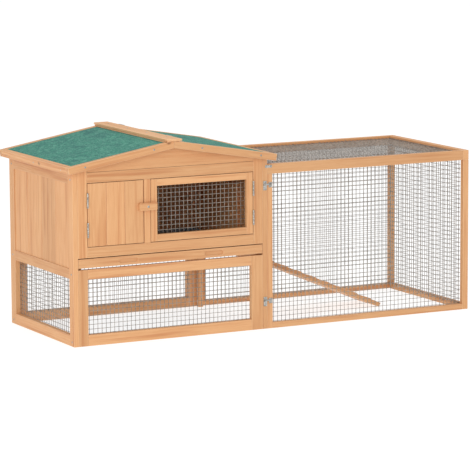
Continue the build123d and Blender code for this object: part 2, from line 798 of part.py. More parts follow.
# ================================================================ ramp
fall = radians(ramp_slope)
ramp_axis_x = right + barrel_radius + ramp_wall_gap
ramp_axis_z = side_mid_top - ramp_hinge_below_sill
ramp_depth = barrel_radius + ramp_thickness  # from the hinge axis to the board's underside
ramp_end = (ramp_axis_z - ramp_floor_gap - ramp_depth * cos(fall)) / sin(fall)
ramp_start = (ramp_depth * sin(fall) - barrel_radius) / cos(fall) + ramp_wall_gap
ramp_plane = Plane(
    origin=(ramp_axis_x, doorway_centre, ramp_axis_z),
    x_dir=(cos(fall), 0, -sin(fall)),
    z_dir=(sin(fall), 0, cos(fall)),
)
ramp_y = (-ramp_width / 2, ramp_width / 2)
with BuildPart(ramp_plane) as ramp_board:
    bar((ramp_start, ramp_end), ramp_y, (-ramp_depth, -barrel_radius))
save(ramp_board, "ramp_board")

cleat_pitch = (ramp_end - ramp_leaf_length) / (cleat_count + 0.5)
with BuildPart(ramp_plane) as ramp_cleats:
    for i in range(cleat_count):
        middle = ramp_leaf_length + (i + 0.75) * cleat_pitch
        cleat_u = (middle - cleat_width / 2, middle + cleat_width / 2)
        bar(cleat_u, short_of(ramp_y, cleat_end_gap), (-barrel_radius, cleat_height - barrel_radius))
save(ramp_cleats, "ramp_cleats")

ramp_hinge_places = (
    doorway_centre - ramp_hinge_spread / 2,
    doorway_centre + ramp_hinge_spread / 2,
)
ramp_third = ramp_hinge_length / 3
ramp_outer_knuckles = (
    (-ramp_hinge_length / 2, -ramp_third / 2),
    (ramp_third / 2, ramp_hinge_length / 2),
)
wall_leaf_x = (right, right + leaf)
wall_leaf_z = (ramp_axis_z + barrel_radius + knuckle_gap, side_mid_top - joint_gap)
with BuildPart() as ramp_hinge_wall_leaves:
    for hinge_y in ramp_hinge_places:
        knuckles(across_y((ramp_axis_x, hinge_y, ramp_axis_z)), ramp_hinge_length, "outer")
        leaf_y = (hinge_y - ramp_hinge_length / 2, hinge_y + ramp_hinge_length / 2)
        bar(wall_leaf_x, leaf_y, wall_leaf_z)
        for low, high in ramp_outer_knuckles:
            bar(wall_leaf_x, (hinge_y + low, hinge_y + high), (ramp_axis_z, wall_leaf_z[0]))
save(ramp_hinge_wall_leaves, "ramp_hinge_wall_leaves")

with BuildPart() as ramp_hinge_board_leaves:
    for hinge_y in ramp_hinge_places:
        axis_plane = Plane(
            origin=(ramp_axis_x, hinge_y, ramp_axis_z),
            x_dir=(cos(fall), 0, -sin(fall)),
            z_dir=(sin(fall), 0, cos(fall)),
        )
        knuckles(across_y((ramp_axis_x, hinge_y, ramp_axis_z)), ramp_hinge_length, "middle")
        with BuildSketch(axis_plane.offset(-barrel_radius)):
            with Locations((ramp_leaf_length / 2, 0)):
                Rectangle(ramp_leaf_length, ramp_third - 2 * knuckle_gap)
        extrude(amount=leaf)
save(ramp_hinge_board_leaves, "ramp_hinge_board_leaves")

# ================================================================ pins of every hinge
with BuildPart() as hinge_pins:
    for hinge_z in door_hinge_z:
        for axis_x in (nest_axis_x, wire_axis_x):
            with BuildSketch(Plane.XY.offset(hinge_z - door_leaf_height / 2)):
                with Locations((axis_x, hinge_axis_y)):
                    Circle(pin_radius)
            extrude(amount=door_leaf_height)
    for hinge_y in roof_hinge_places:
        with BuildSketch(roof_barrel(hinge_y)):
            Circle(pin_radius)
        extrude(amount=roof_hinge_length / 2, both=True)
    for hinge_y in ramp_hinge_places:
        with BuildSketch(across_y((ramp_axis_x, hinge_y, ramp_axis_z))):
            Circle(pin_radius)
        extrude(amount=ramp_hinge_length / 2, both=True)
save(hinge_pins, "hinge_pins")

# ================================================================ run
run_rail_z = (run_height - run_top_rail, run_height)
run_side_x = (right + joint_gap, run_right - run_end_thickness - joint_gap)
run_post_top = run_rail_z[0] - joint_gap


def run_side(y):
    """Adds one long side of the run: a stile beside the house, a foot rail and a top rail over both."""
    bar((run_side_x[0], run_side_x[0] + run_stile), y, (0, run_post_top))
    bar((run_side_x[0] + run_stile + joint_gap, run_side_x[1]), y, (0, run_foot_rail))
    bar(run_side_x, y, run_rail_z)


with BuildPart() as run_front_frame:
    run_side((front, inner_front))
save(run_front_frame, "run_front_frame")

with BuildPart() as run_back_frame:
    run_side((inner_back, back))
save(run_back_frame, "run_back_frame")

end_x = (run_right - run_end_thickness, run_right)
with BuildPart() as run_end_frame:
    bar(end_x, (front, inner_front), (0, run_post_top))
    bar(end_x, (inner_back, back), (0, run_post_top))
    bar(end_x, short_of((inner_front, inner_back)), (0, run_foot_rail))
    bar(end_x, (front, back), run_rail_z)
save(run_end_frame, "run_end_frame")

strip_z = (
    run_height - run_top_recess - run_top_strip_height,
    run_height - run_top_recess,
)
strip_field_x = (right + joint_gap, end_x[0] - joint_gap)
strip_field_y = (inner_front + joint_gap, inner_back - joint_gap)
with BuildPart() as run_top_frame:
    bar(strip_field_x, (strip_field_y[0], strip_field_y[0] + run_top_strip), strip_z)
    bar(strip_field_x, (strip_field_y[1] - run_top_strip, strip_field_y[1]), strip_z)
    strip_between = short_of((strip_field_y[0] + run_top_strip, strip_field_y[1] - run_top_strip))
    bar((strip_field_x[0], strip_field_x[0] + run_top_strip), strip_between, strip_z)
    bar((strip_field_x[1] - run_top_strip, strip_field_x[1]), strip_between, strip_z)
save(run_top_frame, "run_top_frame")

run_window_x = (run_side_x[0] + run_stile, run_side_x[1])
run_window_z = (run_foot_rail, run_rail_z[0])
side_mesh_x = (run_window_x[0], run_window_x[1] - mesh_lap - joint_gap)
with BuildPart() as run_front_mesh:
    mesh_on_y(side_mesh_x, inner_front, (run_window_z[0], strip_z[0] - mesh_lap - joint_gap))
save(run_front_mesh, "run_front_mesh")

with BuildPart() as run_back_mesh:
    mesh_on_y(side_mesh_x, inner_back - wire, (run_window_z[0], strip_z[0] - mesh_lap - joint_gap))
save(run_back_mesh, "run_back_mesh")

end_mesh_y = (inner_front + mesh_lap + 2 * wire, inner_back - mesh_lap - 2 * wire)
with BuildPart() as run_end_mesh:
    mesh_on_x(end_x[0] - wire, end_mesh_y, (run_window_z[0], strip_z[0] - mesh_lap - joint_gap))
save(run_end_mesh, "run_end_mesh")

with BuildPart() as run_top_mesh:
    top_centre = ((strip_field_x[0] + strip_field_x[1]) / 2, 0, strip_z[1])
    mesh_sheet(
        Plane(origin=top_centre, x_dir=(1, 0, 0), z_dir=(0, 0, 1)),
        strip_field_x[1] - strip_field_x[0] - 2 * joint_gap,
        strip_field_y[1] - strip_field_y[0] - 2 * joint_gap,
    )
save(run_top_mesh, "run_top_mesh")

# ================================================================ latches between the house and the run
latch_pivot_x = right - wall / 2
latch_stud_x = latch_pivot_x + latch_reach
latch_places = [(front, -1, z) for z in front_latch_heights] + [(back, 1, back_latch_height)]


def latch_base(x, face, outward, z, width, height, drop):
    """Adds one latch plate with its stud. outward is -1 on the front face and 1 on the back face."""
    plate_y = sorted((face, face + outward * plate))
    bar((x - width / 2, x + width / 2), plate_y, (z - height / 2 - drop, z + height / 2 - drop))
    with BuildSketch(Plane(origin=(x, face, z), z_dir=(0, outward, 0))) as outline:
        Circle(stud_radius)
    extrude(outline.sketch, amount=stud_length)


with BuildPart() as latch_plates:
    for face, outward, latch_z in latch_places:
        latch_base(
            latch_pivot_x, face, outward, latch_z, latch_plate_width, latch_plate_height, latch_plate_drop
        )
save(latch_plates, "latch_plates")

with BuildPart() as latch_keeps:
    for face, outward, latch_z in latch_places:
        latch_base(latch_stud_x, face, outward, latch_z, keep_width, keep_height, keep_drop)
save(latch_keeps, "latch_keeps")


def latch_hook(face, outward, z):
    """Adds one hook: an eye on the pivot stud, an arched arm, and an open jaw over the keep's stud."""
    jaw = stud_radius + stud_clearance
    hook_plane = Plane(
        origin=(latch_pivot_x, face + outward * (plate + hook_gap), z),
        x_dir=(1, 0, 0),
        z_dir=(0, outward, 0),
    )
    up = -outward  # the plane's local y points down on the back face
    with BuildSketch(hook_plane) as outline:
        Circle(stud_radius + stud_clearance + hook_width / 2)
        with Locations((latch_reach / 2, 0)):
            Rectangle(latch_reach, hook_width)
        with Locations((latch_reach, 0)):
            Circle(stud_radius + stud_clearance + hook_width / 2)
        Circle(jaw, mode=Mode.SUBTRACT)
        with Locations((latch_reach, 0)):
            Circle(jaw, mode=Mode.SUBTRACT)
        with Locations((latch_reach, up * -hook_width)):
            Rectangle(2 * jaw, 2 * hook_width, mode=Mode.SUBTRACT)
    extrude(outline.sketch, amount=hook_thickness)


with BuildPart() as front_upper_hook:
    latch_hook(front, -1, front_latch_heights[1])
save(front_upper_hook, "front_upper_hook")

with BuildPart() as front_lower_hook:
    latch_hook(front, -1, front_latch_heights[0])
save(front_lower_hook, "front_lower_hook")

with BuildPart() as back_hook:
    latch_hook(back, 1, back_latch_height)
save(back_hook, "back_hook")

# ================================================================ corner brackets, run to house
bracket_middle = right + bracket_shift
bracket_x = (bracket_middle - bracket_leg / 2, bracket_middle + bracket_leg / 2)
bracket_top = run_height - bracket_below_top
bracket_z = (bracket_top - bracket_width, bracket_top)
with BuildPart() as run_corner_brackets:
    for face, outward in ((front, -1), (back, 1)):
        bracket_y = sorted((face, face + outward * plate))
        bar(bracket_x, bracket_y, bracket_z)
save(run_corner_brackets, "run_corner_brackets")

# ================================================================ screws
stile_screw_z = (foot_screw_height, side_mid_top - side_mid_rail / 2, wall_top - eave_screw_drop)
cap_screw_end = roof_end - cap_screw_inset
cap_screw_y = (-cap_screw_end, -cap_screw_end / 3, cap_screw_end / 3, cap_screw_end)
wall_screws = [
    (left, y, z) for y in (front + stile / 2, back - side_back_stile / 2) for z in stile_screw_z
]
button_face = front - button_gap - button_thickness
with BuildPart() as frame_screws:
    screw_heads(wall_screws, (-1, 0, 0))
    screw_heads([(cap_x[0] + cap_width / 2, y, cap_top) for y in cap_screw_y], (0, 0, 1))
    with BuildSketch(Plane(origin=(partition_x, button_face, button_z), z_dir=(0, -1, 0))):
        Circle(button_head_radius)
    extrude(amount=button_head_height, taper=button_head_taper)
    with BuildSketch(Plane(origin=(partition_x, button_face, button_z), z_dir=(0, 1, 0))):
        Circle(button_screw_radius)
    extrude(amount=button_thickness + button_gap + button_screw_depth)
save(frame_screws, "frame_screws")


def on_front_rake(plane, down_slope):
    """A point on the middle line of the front rake fascia's outer face."""
    point = plane.from_local_coords(Vector(down_slope, 0, -fascia_height / 2))
    return (point.X, -roof_end, point.Z)


eave_screw_end = roof_end - eave_screw_inset
left_eave_screws = [
    left_slope.from_local_coords(Vector(slope_length, y, -fascia_height / 2))
    for y in (-eave_screw_end, 0, eave_screw_end)
]
with BuildPart() as left_fascia_screws:
    screw_heads([on_front_rake(left_slope, u) for u in left_rake_screws], (0, -1, 0))
    screw_heads(left_eave_screws, left_slope.x_dir)
save(left_fascia_screws, "left_fascia_screws")

with BuildPart() as lid_screws:
    screw_heads([on_front_rake(right_slope, u) for u in right_rake_screws], (0, -1, 0))
save(lid_screws, "lid_screws")
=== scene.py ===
"""Looks of a two-storey rabbit hutch with a ramp and a wire run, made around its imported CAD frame.

Every length is in metres in the frame's own axes: X along the hutch, Y from front to back, Z up.
"""

import json
import logging
import math
import random
from collections.abc import Iterable, Sequence
from dataclasses import dataclass
from enum import Enum

import bmesh
import bpy
from mathutils import Matrix, Vector


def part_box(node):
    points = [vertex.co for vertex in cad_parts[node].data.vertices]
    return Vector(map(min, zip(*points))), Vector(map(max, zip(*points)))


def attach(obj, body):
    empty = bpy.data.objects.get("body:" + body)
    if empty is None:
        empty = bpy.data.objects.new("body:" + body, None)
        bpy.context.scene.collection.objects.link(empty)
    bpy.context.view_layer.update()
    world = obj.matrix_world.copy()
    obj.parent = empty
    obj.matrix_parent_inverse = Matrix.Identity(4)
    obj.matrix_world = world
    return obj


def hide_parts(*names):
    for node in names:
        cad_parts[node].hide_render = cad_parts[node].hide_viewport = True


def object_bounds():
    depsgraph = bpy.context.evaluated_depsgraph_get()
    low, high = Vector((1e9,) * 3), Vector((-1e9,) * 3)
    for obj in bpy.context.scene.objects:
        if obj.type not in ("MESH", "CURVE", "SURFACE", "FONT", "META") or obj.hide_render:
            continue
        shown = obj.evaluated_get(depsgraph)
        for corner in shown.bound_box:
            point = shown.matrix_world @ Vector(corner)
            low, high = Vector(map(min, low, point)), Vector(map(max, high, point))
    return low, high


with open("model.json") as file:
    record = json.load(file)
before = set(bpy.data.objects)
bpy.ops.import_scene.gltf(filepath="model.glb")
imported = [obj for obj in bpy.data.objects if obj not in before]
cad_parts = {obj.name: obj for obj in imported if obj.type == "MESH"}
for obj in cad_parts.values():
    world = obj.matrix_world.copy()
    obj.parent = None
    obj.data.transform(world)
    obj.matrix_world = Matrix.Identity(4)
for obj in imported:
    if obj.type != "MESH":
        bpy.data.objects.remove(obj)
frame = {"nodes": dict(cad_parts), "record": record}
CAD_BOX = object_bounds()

log = logging.getLogger("hutch")

MM = 0.001
WELD_DISTANCE = 0.01 * MM  # corners closer than this are one corner
FLAT_ANGLE = math.radians(1.0)  # faces that meet flatter than this are one face
ARRIS_ANGLE = math.radians(35.0)  # edges sharper than this are rounded over
LENGTH_DIGITS = 5  # lengths and places in metres are compared to this many decimals
AREA_DIGITS = 7  # and areas in square metres to this many
LONG_SIDE = 0.2  # a face whose normal leans less than this along a piece is one of its long sides
BUMP_STRENGTH = 0.6
SPAN_OF_LOG = (0.0, 6.0)  # metres along the log that a board may be cut from
ASIDE_IN_LOG = (-45.0, 45.0)  # millimetres to the side of the log's middle
DEPTH_IN_LOG = (30.0, 110.0)  # millimetres from the log's middle

GRAIN = "grain"  # place in the board's own directions: along the fibres, across, through
TINT = "tint"  # one number for each board
ARRIS = "arris"  # 1 on the rounded edges


class Slot(Enum):
    """The record's material slots."""

    FIR = "fir_wood"
    CAP = "cap_wood"
    FELT = "roofing_felt"
    WIRE = "galvanised_mesh"
    ZINC = "zinc_hardware"
    TRAY = "tray_steel"


class Away(Enum):
    """The direction from the timber that a mesh panel is stapled to, towards the panel."""

    RIGHT = (1, 0, 0)
    LEFT = (-1, 0, 0)
    BACK = (0, 1, 0)
    FRONT = (0, -1, 0)
    UP = (0, 0, 1)


# ------------------------------------------------------------------ colours and shader nodes
def linear(code: str) -> tuple[float, float, float, float]:
    """Turns an sRGB hex colour into linear red, green, blue and alpha.

    Args:
        code: The colour, such as "#E2AC7A".

    Returns:
        The four linear values.
    """
    values = [int(code[i : i + 2], 16) / 255 for i in (1, 3, 5)]
    red, green, blue = (v / 12.92 if v <= 0.04045 else ((v + 0.055) / 1.055) ** 2.4 for v in values)
    return (red, green, blue, 1.0)


def add(
    tree: bpy.types.NodeTree,
    kind: str,
    settings: dict[str | int, object] | None = None,
    links: dict[str | int, bpy.types.NodeSocket] | None = None,
) -> bpy.types.Node:
    """Adds one shader node with its settings and links.

    Args:
        tree: The material's node tree.
        kind: The node's type.
        settings: Values of inputs, by name or number, and of the node's own properties, by name.
        links: What feeds each input, by the input's name or number.

    Returns:
        The new node.
    """
    node = tree.nodes.new(kind)
    for name, value in (settings or {}).items():
        if isinstance(name, int) or name in node.inputs:
            node.inputs[name].default_value = value
        else:
            setattr(node, name, value)
    for name, socket in (links or {}).items():
        tree.links.new(socket, node.inputs[name])
    return node


def blank_material(name: str) -> bpy.types.Material:
    """Makes a material with an empty node tree."""
    made = bpy.data.materials.new(name)
    made.use_nodes = True
    made.node_tree.nodes.clear()
    return made


MIX_FACTOR, MIX_A, MIX_B, MIX_COLOUR = 0, 6, 7, 2  # the colour mix node's sockets


def mixed(
    tree: bpy.types.NodeTree,
    factor: bpy.types.NodeSocket,
    first: bpy.types.NodeSocket | str,
    second: bpy.types.NodeSocket | str,
    blend: str = "MIX",
) -> bpy.types.NodeSocket:
    """Mixes two colours by a factor.

    Args:
        tree: The material's node tree.
        factor: How much of the second colour shows.
        first: A colour socket or an sRGB hex colour.
        second: A colour socket or an sRGB hex colour.
        blend: The way the two are mixed.

    Returns:
        The mixed colour's socket.
    """
    settings: dict[str | int, object] = {"data_type": "RGBA", "blend_type": blend}
    links: dict[str | int, bpy.types.NodeSocket] = {MIX_FACTOR: factor}
    for place, colour in ((MIX_A, first), (MIX_B, second)):
        if isinstance(colour, str):
            settings[place] = linear(colour)
        else:
            links[place] = colour
    return add(tree, "ShaderNodeMix", settings, links).outputs[MIX_COLOUR]


def ranged(
    tree: bpy.types.NodeTree,
    value: bpy.types.NodeSocket,
    source: tuple[float, float],
    target: tuple[float, float] = (0.0, 1.0),
) -> bpy.types.NodeSocket:
    """Maps a value smoothly from one range to another, and holds it at the ends."""
    settings = {
        "interpolation_type": "SMOOTHSTEP",
        "From Min": source[0],
        "From Max": source[1],
        "To Min": target[0],
        "To Max": target[1],
    }
    return add(tree, "ShaderNodeMapRange", settings, {"Value": value}).outputs["Result"]


def surface(
    tree: bpy.types.NodeTree,
    shader_settings: dict[str | int, object],
    shader_links: dict[str | int, bpy.types.NodeSocket],
    height: bpy.types.NodeSocket,
    relief: float,
) -> None:
    """Ends a material in a Principled shader with a bump.

    Args:
        tree: The material's node tree.
        shader_settings: The shader's plain values.
        shader_links: What feeds the shader's other inputs.
        height: The bump's height, from 0 to 1.
        relief: How deep that bump is, in metres.
    """
    bump = add(tree, "ShaderNodeBump", {"Strength": BUMP_STRENGTH, "Distance": relief}, {"Height": height})
    shader = add(
        tree,
        "ShaderNodeBsdfPrincipled",
        shader_settings,
        {**shader_links, "Normal": bump.outputs["Normal"]},
    )
    add(tree, "ShaderNodeOutputMaterial", {}, {"Surface": shader.outputs["BSDF"]})


# ------------------------------------------------------------------ finishes
@dataclass(frozen=True)
class StainedFir:
    """Planed fir, dipped in a honey-coloured stain: soft bands of growth rings, streaks and a few knots."""

    name: str
    early_wood: str
    late_wood: str
    streak: str
    knot: str
    # the paler colour painted on the rounded arrises as a highlight, not a real worn edge
    painted_edge_highlight: str
    ring_spacing: float = 6.0 * MM
    ring_waver: float = 9.0 * MM
    waver_scale: tuple[float, float, float] = (2.2, 9.0, 9.0)  # per metre: along, across and through
    streak_width: float = 14.0 * MM
    streak_length: float = 380.0 * MM
    fibre_width: float = 1.6 * MM  # real fibres are finer; drawn this coarse so that they show
    fibre_length: float = 60.0 * MM
    blotch_width: float = 90.0 * MM
    blotch_length: float = 260.0 * MM
    knot_cell: float = 150.0 * MM
    knot_stretch: tuple[float, float, float] = (0.75, 1.0, 0.2)  # along, across and through
    knot_rim: tuple[float, float] = (0.015, 0.07)  # where a knot fades out, in cells
    knot_share: float = 0.38
    growth_width: float = 45.0 * MM  # the stretches where the rings show more or less
    growth_length: float = 420.0 * MM
    relief: float = 0.25 * MM

    def rings(self, tree: bpy.types.NodeTree, place: bpy.types.NodeSocket) -> bpy.types.NodeSocket:
        """Draws growth rings about the log's middle, which wander slowly along the board.

        Args:
            tree: The material's node tree.
            place: The place in the board's own directions.

        Returns:
            0 in early wood, rising to 1 in late wood.
        """
        slow = add(tree, "ShaderNodeMapping", {"Scale": self.waver_scale}, {"Vector": place})
        waver = add(tree, "ShaderNodeTexNoise", {"Scale": 1.0, "Detail": 1.5}, {"Vector": slow.outputs[0]})
        flat = add(tree, "ShaderNodeMapping", {"Scale": (0.0, 1.0, 1.0)}, {"Vector": place})
        radius = add(tree, "ShaderNodeVectorMath", {"operation": "LENGTH"}, {0: flat.outputs[0]})
        shifted = {"operation": "MULTIPLY_ADD", 1: self.ring_waver}
        waved = {0: waver.outputs["Fac"], 2: radius.outputs["Value"]}
        wandering = add(tree, "ShaderNodeMath", shifted, waved)
        spaced = {"operation": "DIVIDE", 1: self.ring_spacing}
        count = add(tree, "ShaderNodeMath", spaced, {0: wandering.outputs[0]})
        year = add(tree, "ShaderNodeMath", {"operation": "FRACT"}, {0: count.outputs[0]})
        grown = ranged(tree, year.outputs[0], (0.25, 0.8))
        stopped = ranged(tree, year.outputs[0], (0.9, 1.0), (1.0, 0.0))
        band = add(tree, "ShaderNodeMath", {"operation": "MULTIPLY"}, {0: grown, 1: stopped})
        return band.outputs[0]

    def noise(
        self,
        tree: bpy.types.NodeTree,
        place: bpy.types.NodeSocket,
        width: float,
        length: float,
    ) -> bpy.types.NodeSocket:
        """Draws noise stretched along the fibres, with features of the given width and length in metres."""
        scale = (1.0 / length, 1.0 / width, 1.0 / width)
        stretched = add(tree, "ShaderNodeMapping", {"Scale": scale}, {"Vector": place})
        settings = {"Scale": 1.0, "Detail": 2.0}
        return add(tree, "ShaderNodeTexNoise", settings, {"Vector": stretched.outputs[0]}).outputs["Fac"]

    def knots(self, tree: bpy.types.NodeTree, place: bpy.types.NodeSocket) -> bpy.types.NodeSocket:
        """Scatters knots.

        Args:
            tree: The material's node tree.
            place: The place in the board's own directions.

        Returns:
            1 in the middle of a knot and 0 away from it.
        """
        scale = 1.0 / self.knot_cell
        stretched = tuple(share * scale for share in self.knot_stretch)
        cells = add(tree, "ShaderNodeMapping", {"Scale": stretched}, {"Vector": place})
        found = add(tree, "ShaderNodeTexVoronoi", {"Scale": 1.0}, {"Vector": cells.outputs[0]})
        near = ranged(tree, found.outputs["Distance"], self.knot_rim, (1.0, 0.0))
        dice = add(tree, "ShaderNodeSeparateColor", {}, {"Color": found.outputs["Color"]})
        drawn = {"operation": "LESS_THAN", 1: self.knot_share}
        kept = add(tree, "ShaderNodeMath", drawn, {0: dice.outputs[0]})
        only = add(tree, "ShaderNodeMath", {"operation": "MULTIPLY"}, {0: near, 1: kept.outputs[0]})
        return only.outputs[0]

    def material(self) -> bpy.types.Material:
        """Makes the material, from the board's grain, tint and arris attributes."""
        made = blank_material(self.name)
        tree = made.node_tree
        place = add(tree, "ShaderNodeAttribute", {"attribute_name": GRAIN}).outputs["Vector"]
        tint = add(tree, "ShaderNodeAttribute", {"attribute_name": TINT}).outputs["Fac"]
        arris = add(tree, "ShaderNodeAttribute", {"attribute_name": ARRIS}).outputs["Fac"]
        rings = self.rings(tree, place)
        fibres = self.noise(tree, place, self.fibre_width, self.fibre_length)
        streaky = self.noise(tree, place, self.streak_width, self.streak_length)
        streaks = ranged(tree, streaky, (0.5, 0.72), (0.0, 0.75))
        blotchy = self.noise(tree, place, self.blotch_width, self.blotch_length)
        blotches = ranged(tree, blotchy, (0.35, 0.7), (0.0, 0.35))
        knots = self.knots(tree, place)
        patchy = self.noise(tree, place, self.growth_width, self.growth_length)
        growth = ranged(tree, patchy, (0.35, 0.65), (0.1, 0.65))
        shown = add(tree, "ShaderNodeMath", {"operation": "MULTIPLY"}, {0: rings, 1: growth})
        # The rings are what makes the wood read as softwood; the stain keeps their contrast low
        wood = mixed(tree, shown.outputs[0], self.early_wood, self.late_wood)
        # Streaks and blotches are where the stain soaked in deeper
        wood = mixed(tree, streaks, wood, self.streak)
        wood = mixed(tree, blotches, wood, self.late_wood)
        # Fibres break up the flat colour at close range
        wood = mixed(tree, ranged(tree, fibres, (0.45, 0.7), (0.0, 0.3)), wood, self.streak)
        wood = mixed(tree, knots, wood, self.knot)
        # Painted highlight: the rounded arrises are drawn paler, as if they catch the light
        wood = mixed(tree, ranged(tree, arris, (0.0, 1.0), (0.0, 0.55)), wood, self.painted_edge_highlight)
        bright = ranged(tree, tint, (0.0, 1.0), (0.93, 1.05))
        shade = add(tree, "ShaderNodeHueSaturation", {}, {"Value": bright, "Color": wood})
        rough = ranged(tree, fibres, (0.3, 0.7), (0.46, 0.62))
        ridges = add(tree, "ShaderNodeMath", {"operation": "MULTIPLY_ADD", 1: 0.5}, {0: rings, 2: fibres})
        dressed = {"Base Color": shade.outputs["Color"], "Roughness": rough}
        surface(tree, {"IOR": 1.5}, dressed, ridges.outputs[0], self.relief)
        return made


@dataclass(frozen=True)
class MineralFelt:
    """Bitumen roofing felt, rolled with green slate granules: a dull, gritty surface with mottled colour."""

    name: str
    granule: str
    dark_granule: str
    pale_granule: str
    granule_size: float = 3.6 * MM  # real granules are about 1 mm; drawn this coarse so that they show
    patch_size: float = 70.0 * MM
    clump_size: float = 18.0 * MM
    relief: float = 0.5 * MM

    def material(self) -> bpy.types.Material:
        """Makes the material, from the object's own coordinates."""
        made = blank_material(self.name)
        tree = made.node_tree
        place = add(tree, "ShaderNodeTexCoord").outputs["Object"]
        grit = add(tree, "ShaderNodeTexVoronoi", {"Scale": 1.0 / self.granule_size}, {"Vector": place})
        dice = add(tree, "ShaderNodeSeparateColor", {}, {"Color": grit.outputs["Color"]})
        rolled = {"Scale": 1.0 / self.patch_size, "Detail": 4.0, "Roughness": 0.65}
        patches = add(tree, "ShaderNodeTexNoise", rolled, {"Vector": place})
        # Single granules are darker or paler than the rest, which gives the sparkle of crushed slate
        dark = ranged(tree, dice.outputs[0], (0.55, 0.95), (0.0, 0.8))
        colour = mixed(tree, dark, self.granule, self.dark_granule)
        pale = ranged(tree, dice.outputs[1], (0.6, 0.98), (0.0, 0.75))
        colour = mixed(tree, pale, colour, self.pale_granule)
        # Patches are where the roller pressed the granules in more or less densely
        thin = ranged(tree, patches.outputs["Fac"], (0.45, 0.68), (0.0, 0.4))
        colour = mixed(tree, thin, colour, self.dark_granule)
        # Clumps of granules that fell together give the middle-sized mottling
        fallen = {"Scale": 1.0 / self.clump_size, "Detail": 2.0}
        clumps = add(tree, "ShaderNodeTexNoise", fallen, {"Vector": place})
        heaped = ranged(tree, clumps.outputs["Fac"], (0.5, 0.68), (0.0, 0.3))
        colour = mixed(tree, heaped, colour, self.pale_granule)
        bare = ranged(tree, clumps.outputs["Fac"], (0.32, 0.48), (0.3, 0.0))
        colour = mixed(tree, bare, colour, self.dark_granule)
        dull = {"Roughness": 0.92, "IOR": 1.5}
        surface(tree, dull, {"Base Color": colour}, grit.outputs["Distance"], self.relief)
        return made


@dataclass(frozen=True)
class ZincedSteel:
    """Zinc-plated or hot-dip galvanised steel: a soft grey metal with a faint spangle and dull patches."""

    name: str
    bright: str
    dull: str
    spangle_size: float
    metallic: float = 1.0
    roughness: tuple[float, float] = (0.32, 0.5)
    relief: float = 0.05 * MM

    def material(self) -> bpy.types.Material:
        """Makes the material, from the object's own coordinates."""
        made = blank_material(self.name)
        tree = made.node_tree
        place = add(tree, "ShaderNodeTexCoord").outputs["Object"]
        spangle = add(tree, "ShaderNodeTexVoronoi", {"Scale": 1.0 / self.spangle_size}, {"Vector": place})
        dice = add(tree, "ShaderNodeSeparateColor", {}, {"Color": spangle.outputs["Color"]})
        # Each spangle turns a little differently to the light, so its grey and its gloss differ
        colour = mixed(tree, dice.outputs[0], self.bright, self.dull)
        rough = ranged(tree, dice.outputs[1], (0.0, 1.0), self.roughness)
        dressed = {"Base Color": colour, "Roughness": rough}
        surface(tree, {"Metallic": self.metallic}, dressed, dice.outputs[2], self.relief)
        return made


Finish = StainedFir | MineralFelt | ZincedSteel

FINISHES: dict[Slot, Finish] = {
    Slot.FIR: StainedFir(
        name="honey_stained_fir",
        early_wood="#E4AE7A",
        late_wood="#D69863",
        streak="#C68150",
        knot="#7E4A28",
        painted_edge_highlight="#EFC598",
    ),
    Slot.CAP: StainedFir(
        name="honey_stained_fir_ridge",
        early_wood="#EAB684",
        late_wood="#DFA571",
        streak="#D0945E",
        knot="#8F5C38",
        painted_edge_highlight="#F3C9A0",
    ),
    Slot.FELT: MineralFelt(
        name="green_mineral_felt",
        granule="#3D8A76",
        dark_granule="#25595D",
        pale_granule="#70AF9A",
    ),
    Slot.WIRE: ZincedSteel(
        name="galvanised_welded_wire",
        bright="#B2ABA2",
        dull="#827C75",
        spangle_size=9.0 * MM,
        metallic=0.3,
        roughness=(0.38, 0.55),
    ),
    Slot.ZINC: ZincedSteel(
        name="zinc_plated_steel",
        bright="#D6D5D0",
        dull="#8F8E89",
        spangle_size=3.0 * MM,
    ),
    Slot.TRAY: ZincedSteel(
        name="galvanised_tray_sheet",
        bright="#B9BFC3",
        dull="#99A0A5",
        spangle_size=14.0 * MM,
    ),
}


# ------------------------------------------------------------------ shapes
BODY_OF: dict[str, str] = {
    node: body for body, nodes in frame["record"]["behaviour"]["bodies"].items() for node in nodes
}


def whole_faces(node: str) -> bmesh.types.BMesh:
    """Copies a CAD node's mesh, with its corners joined and its flat faces made whole.

    Args:
        node: The CAD node's name.

    Returns:
        A new bmesh, which the caller frees.
    """
    shape = bmesh.new()
    shape.from_mesh(frame["nodes"][node].data)
    bmesh.ops.remove_doubles(shape, verts=shape.verts, dist=WELD_DISTANCE)
    bmesh.ops.dissolve_limit(shape, angle_limit=FLAT_ANGLE, verts=shape.verts, edges=shape.edges)
    bmesh.ops.recalc_face_normals(shape, faces=shape.faces)
    return shape


def round_over(shape: bmesh.types.BMesh, radius: float, segments: int = 2) -> list[bmesh.types.BMFace]:
    """Rounds every sharp edge.

    Args:
        shape: The mesh, which changes.
        radius: The rounding's radius, in metres.
        segments: How many faces it is drawn with.

    Returns:
        The faces of the rounded edges.
    """
    sharp = [e for e in shape.edges if len(e.link_faces) == 2 and e.calc_face_angle(0.0) > ARRIS_ANGLE]
    made = bmesh.ops.bevel(
        shape,
        geom=sharp,
        offset=radius,
        offset_type="OFFSET",
        segments=segments,
        profile=0.5,
        affect="EDGES",
        clamp_overlap=True,
    )
    for face in made["faces"]:
        face.smooth = True
    return made["faces"]


def solids_of(shape: bmesh.types.BMesh) -> list[list[bmesh.types.BMVert]]:
    """Lists the corners of each separate solid of a mesh."""
    left = set(shape.verts)
    found = []
    for start in shape.verts:
        if start not in left:
            continue
        left.discard(start)
        reached, edge_of_search = [start], [start]
        while edge_of_search:
            corner = edge_of_search.pop()
            for edge in corner.link_edges:
                other = edge.other_vert(corner)
                if other in left:
                    left.discard(other)
                    reached.append(other)
                    edge_of_search.append(other)
        found.append(reached)
    return found


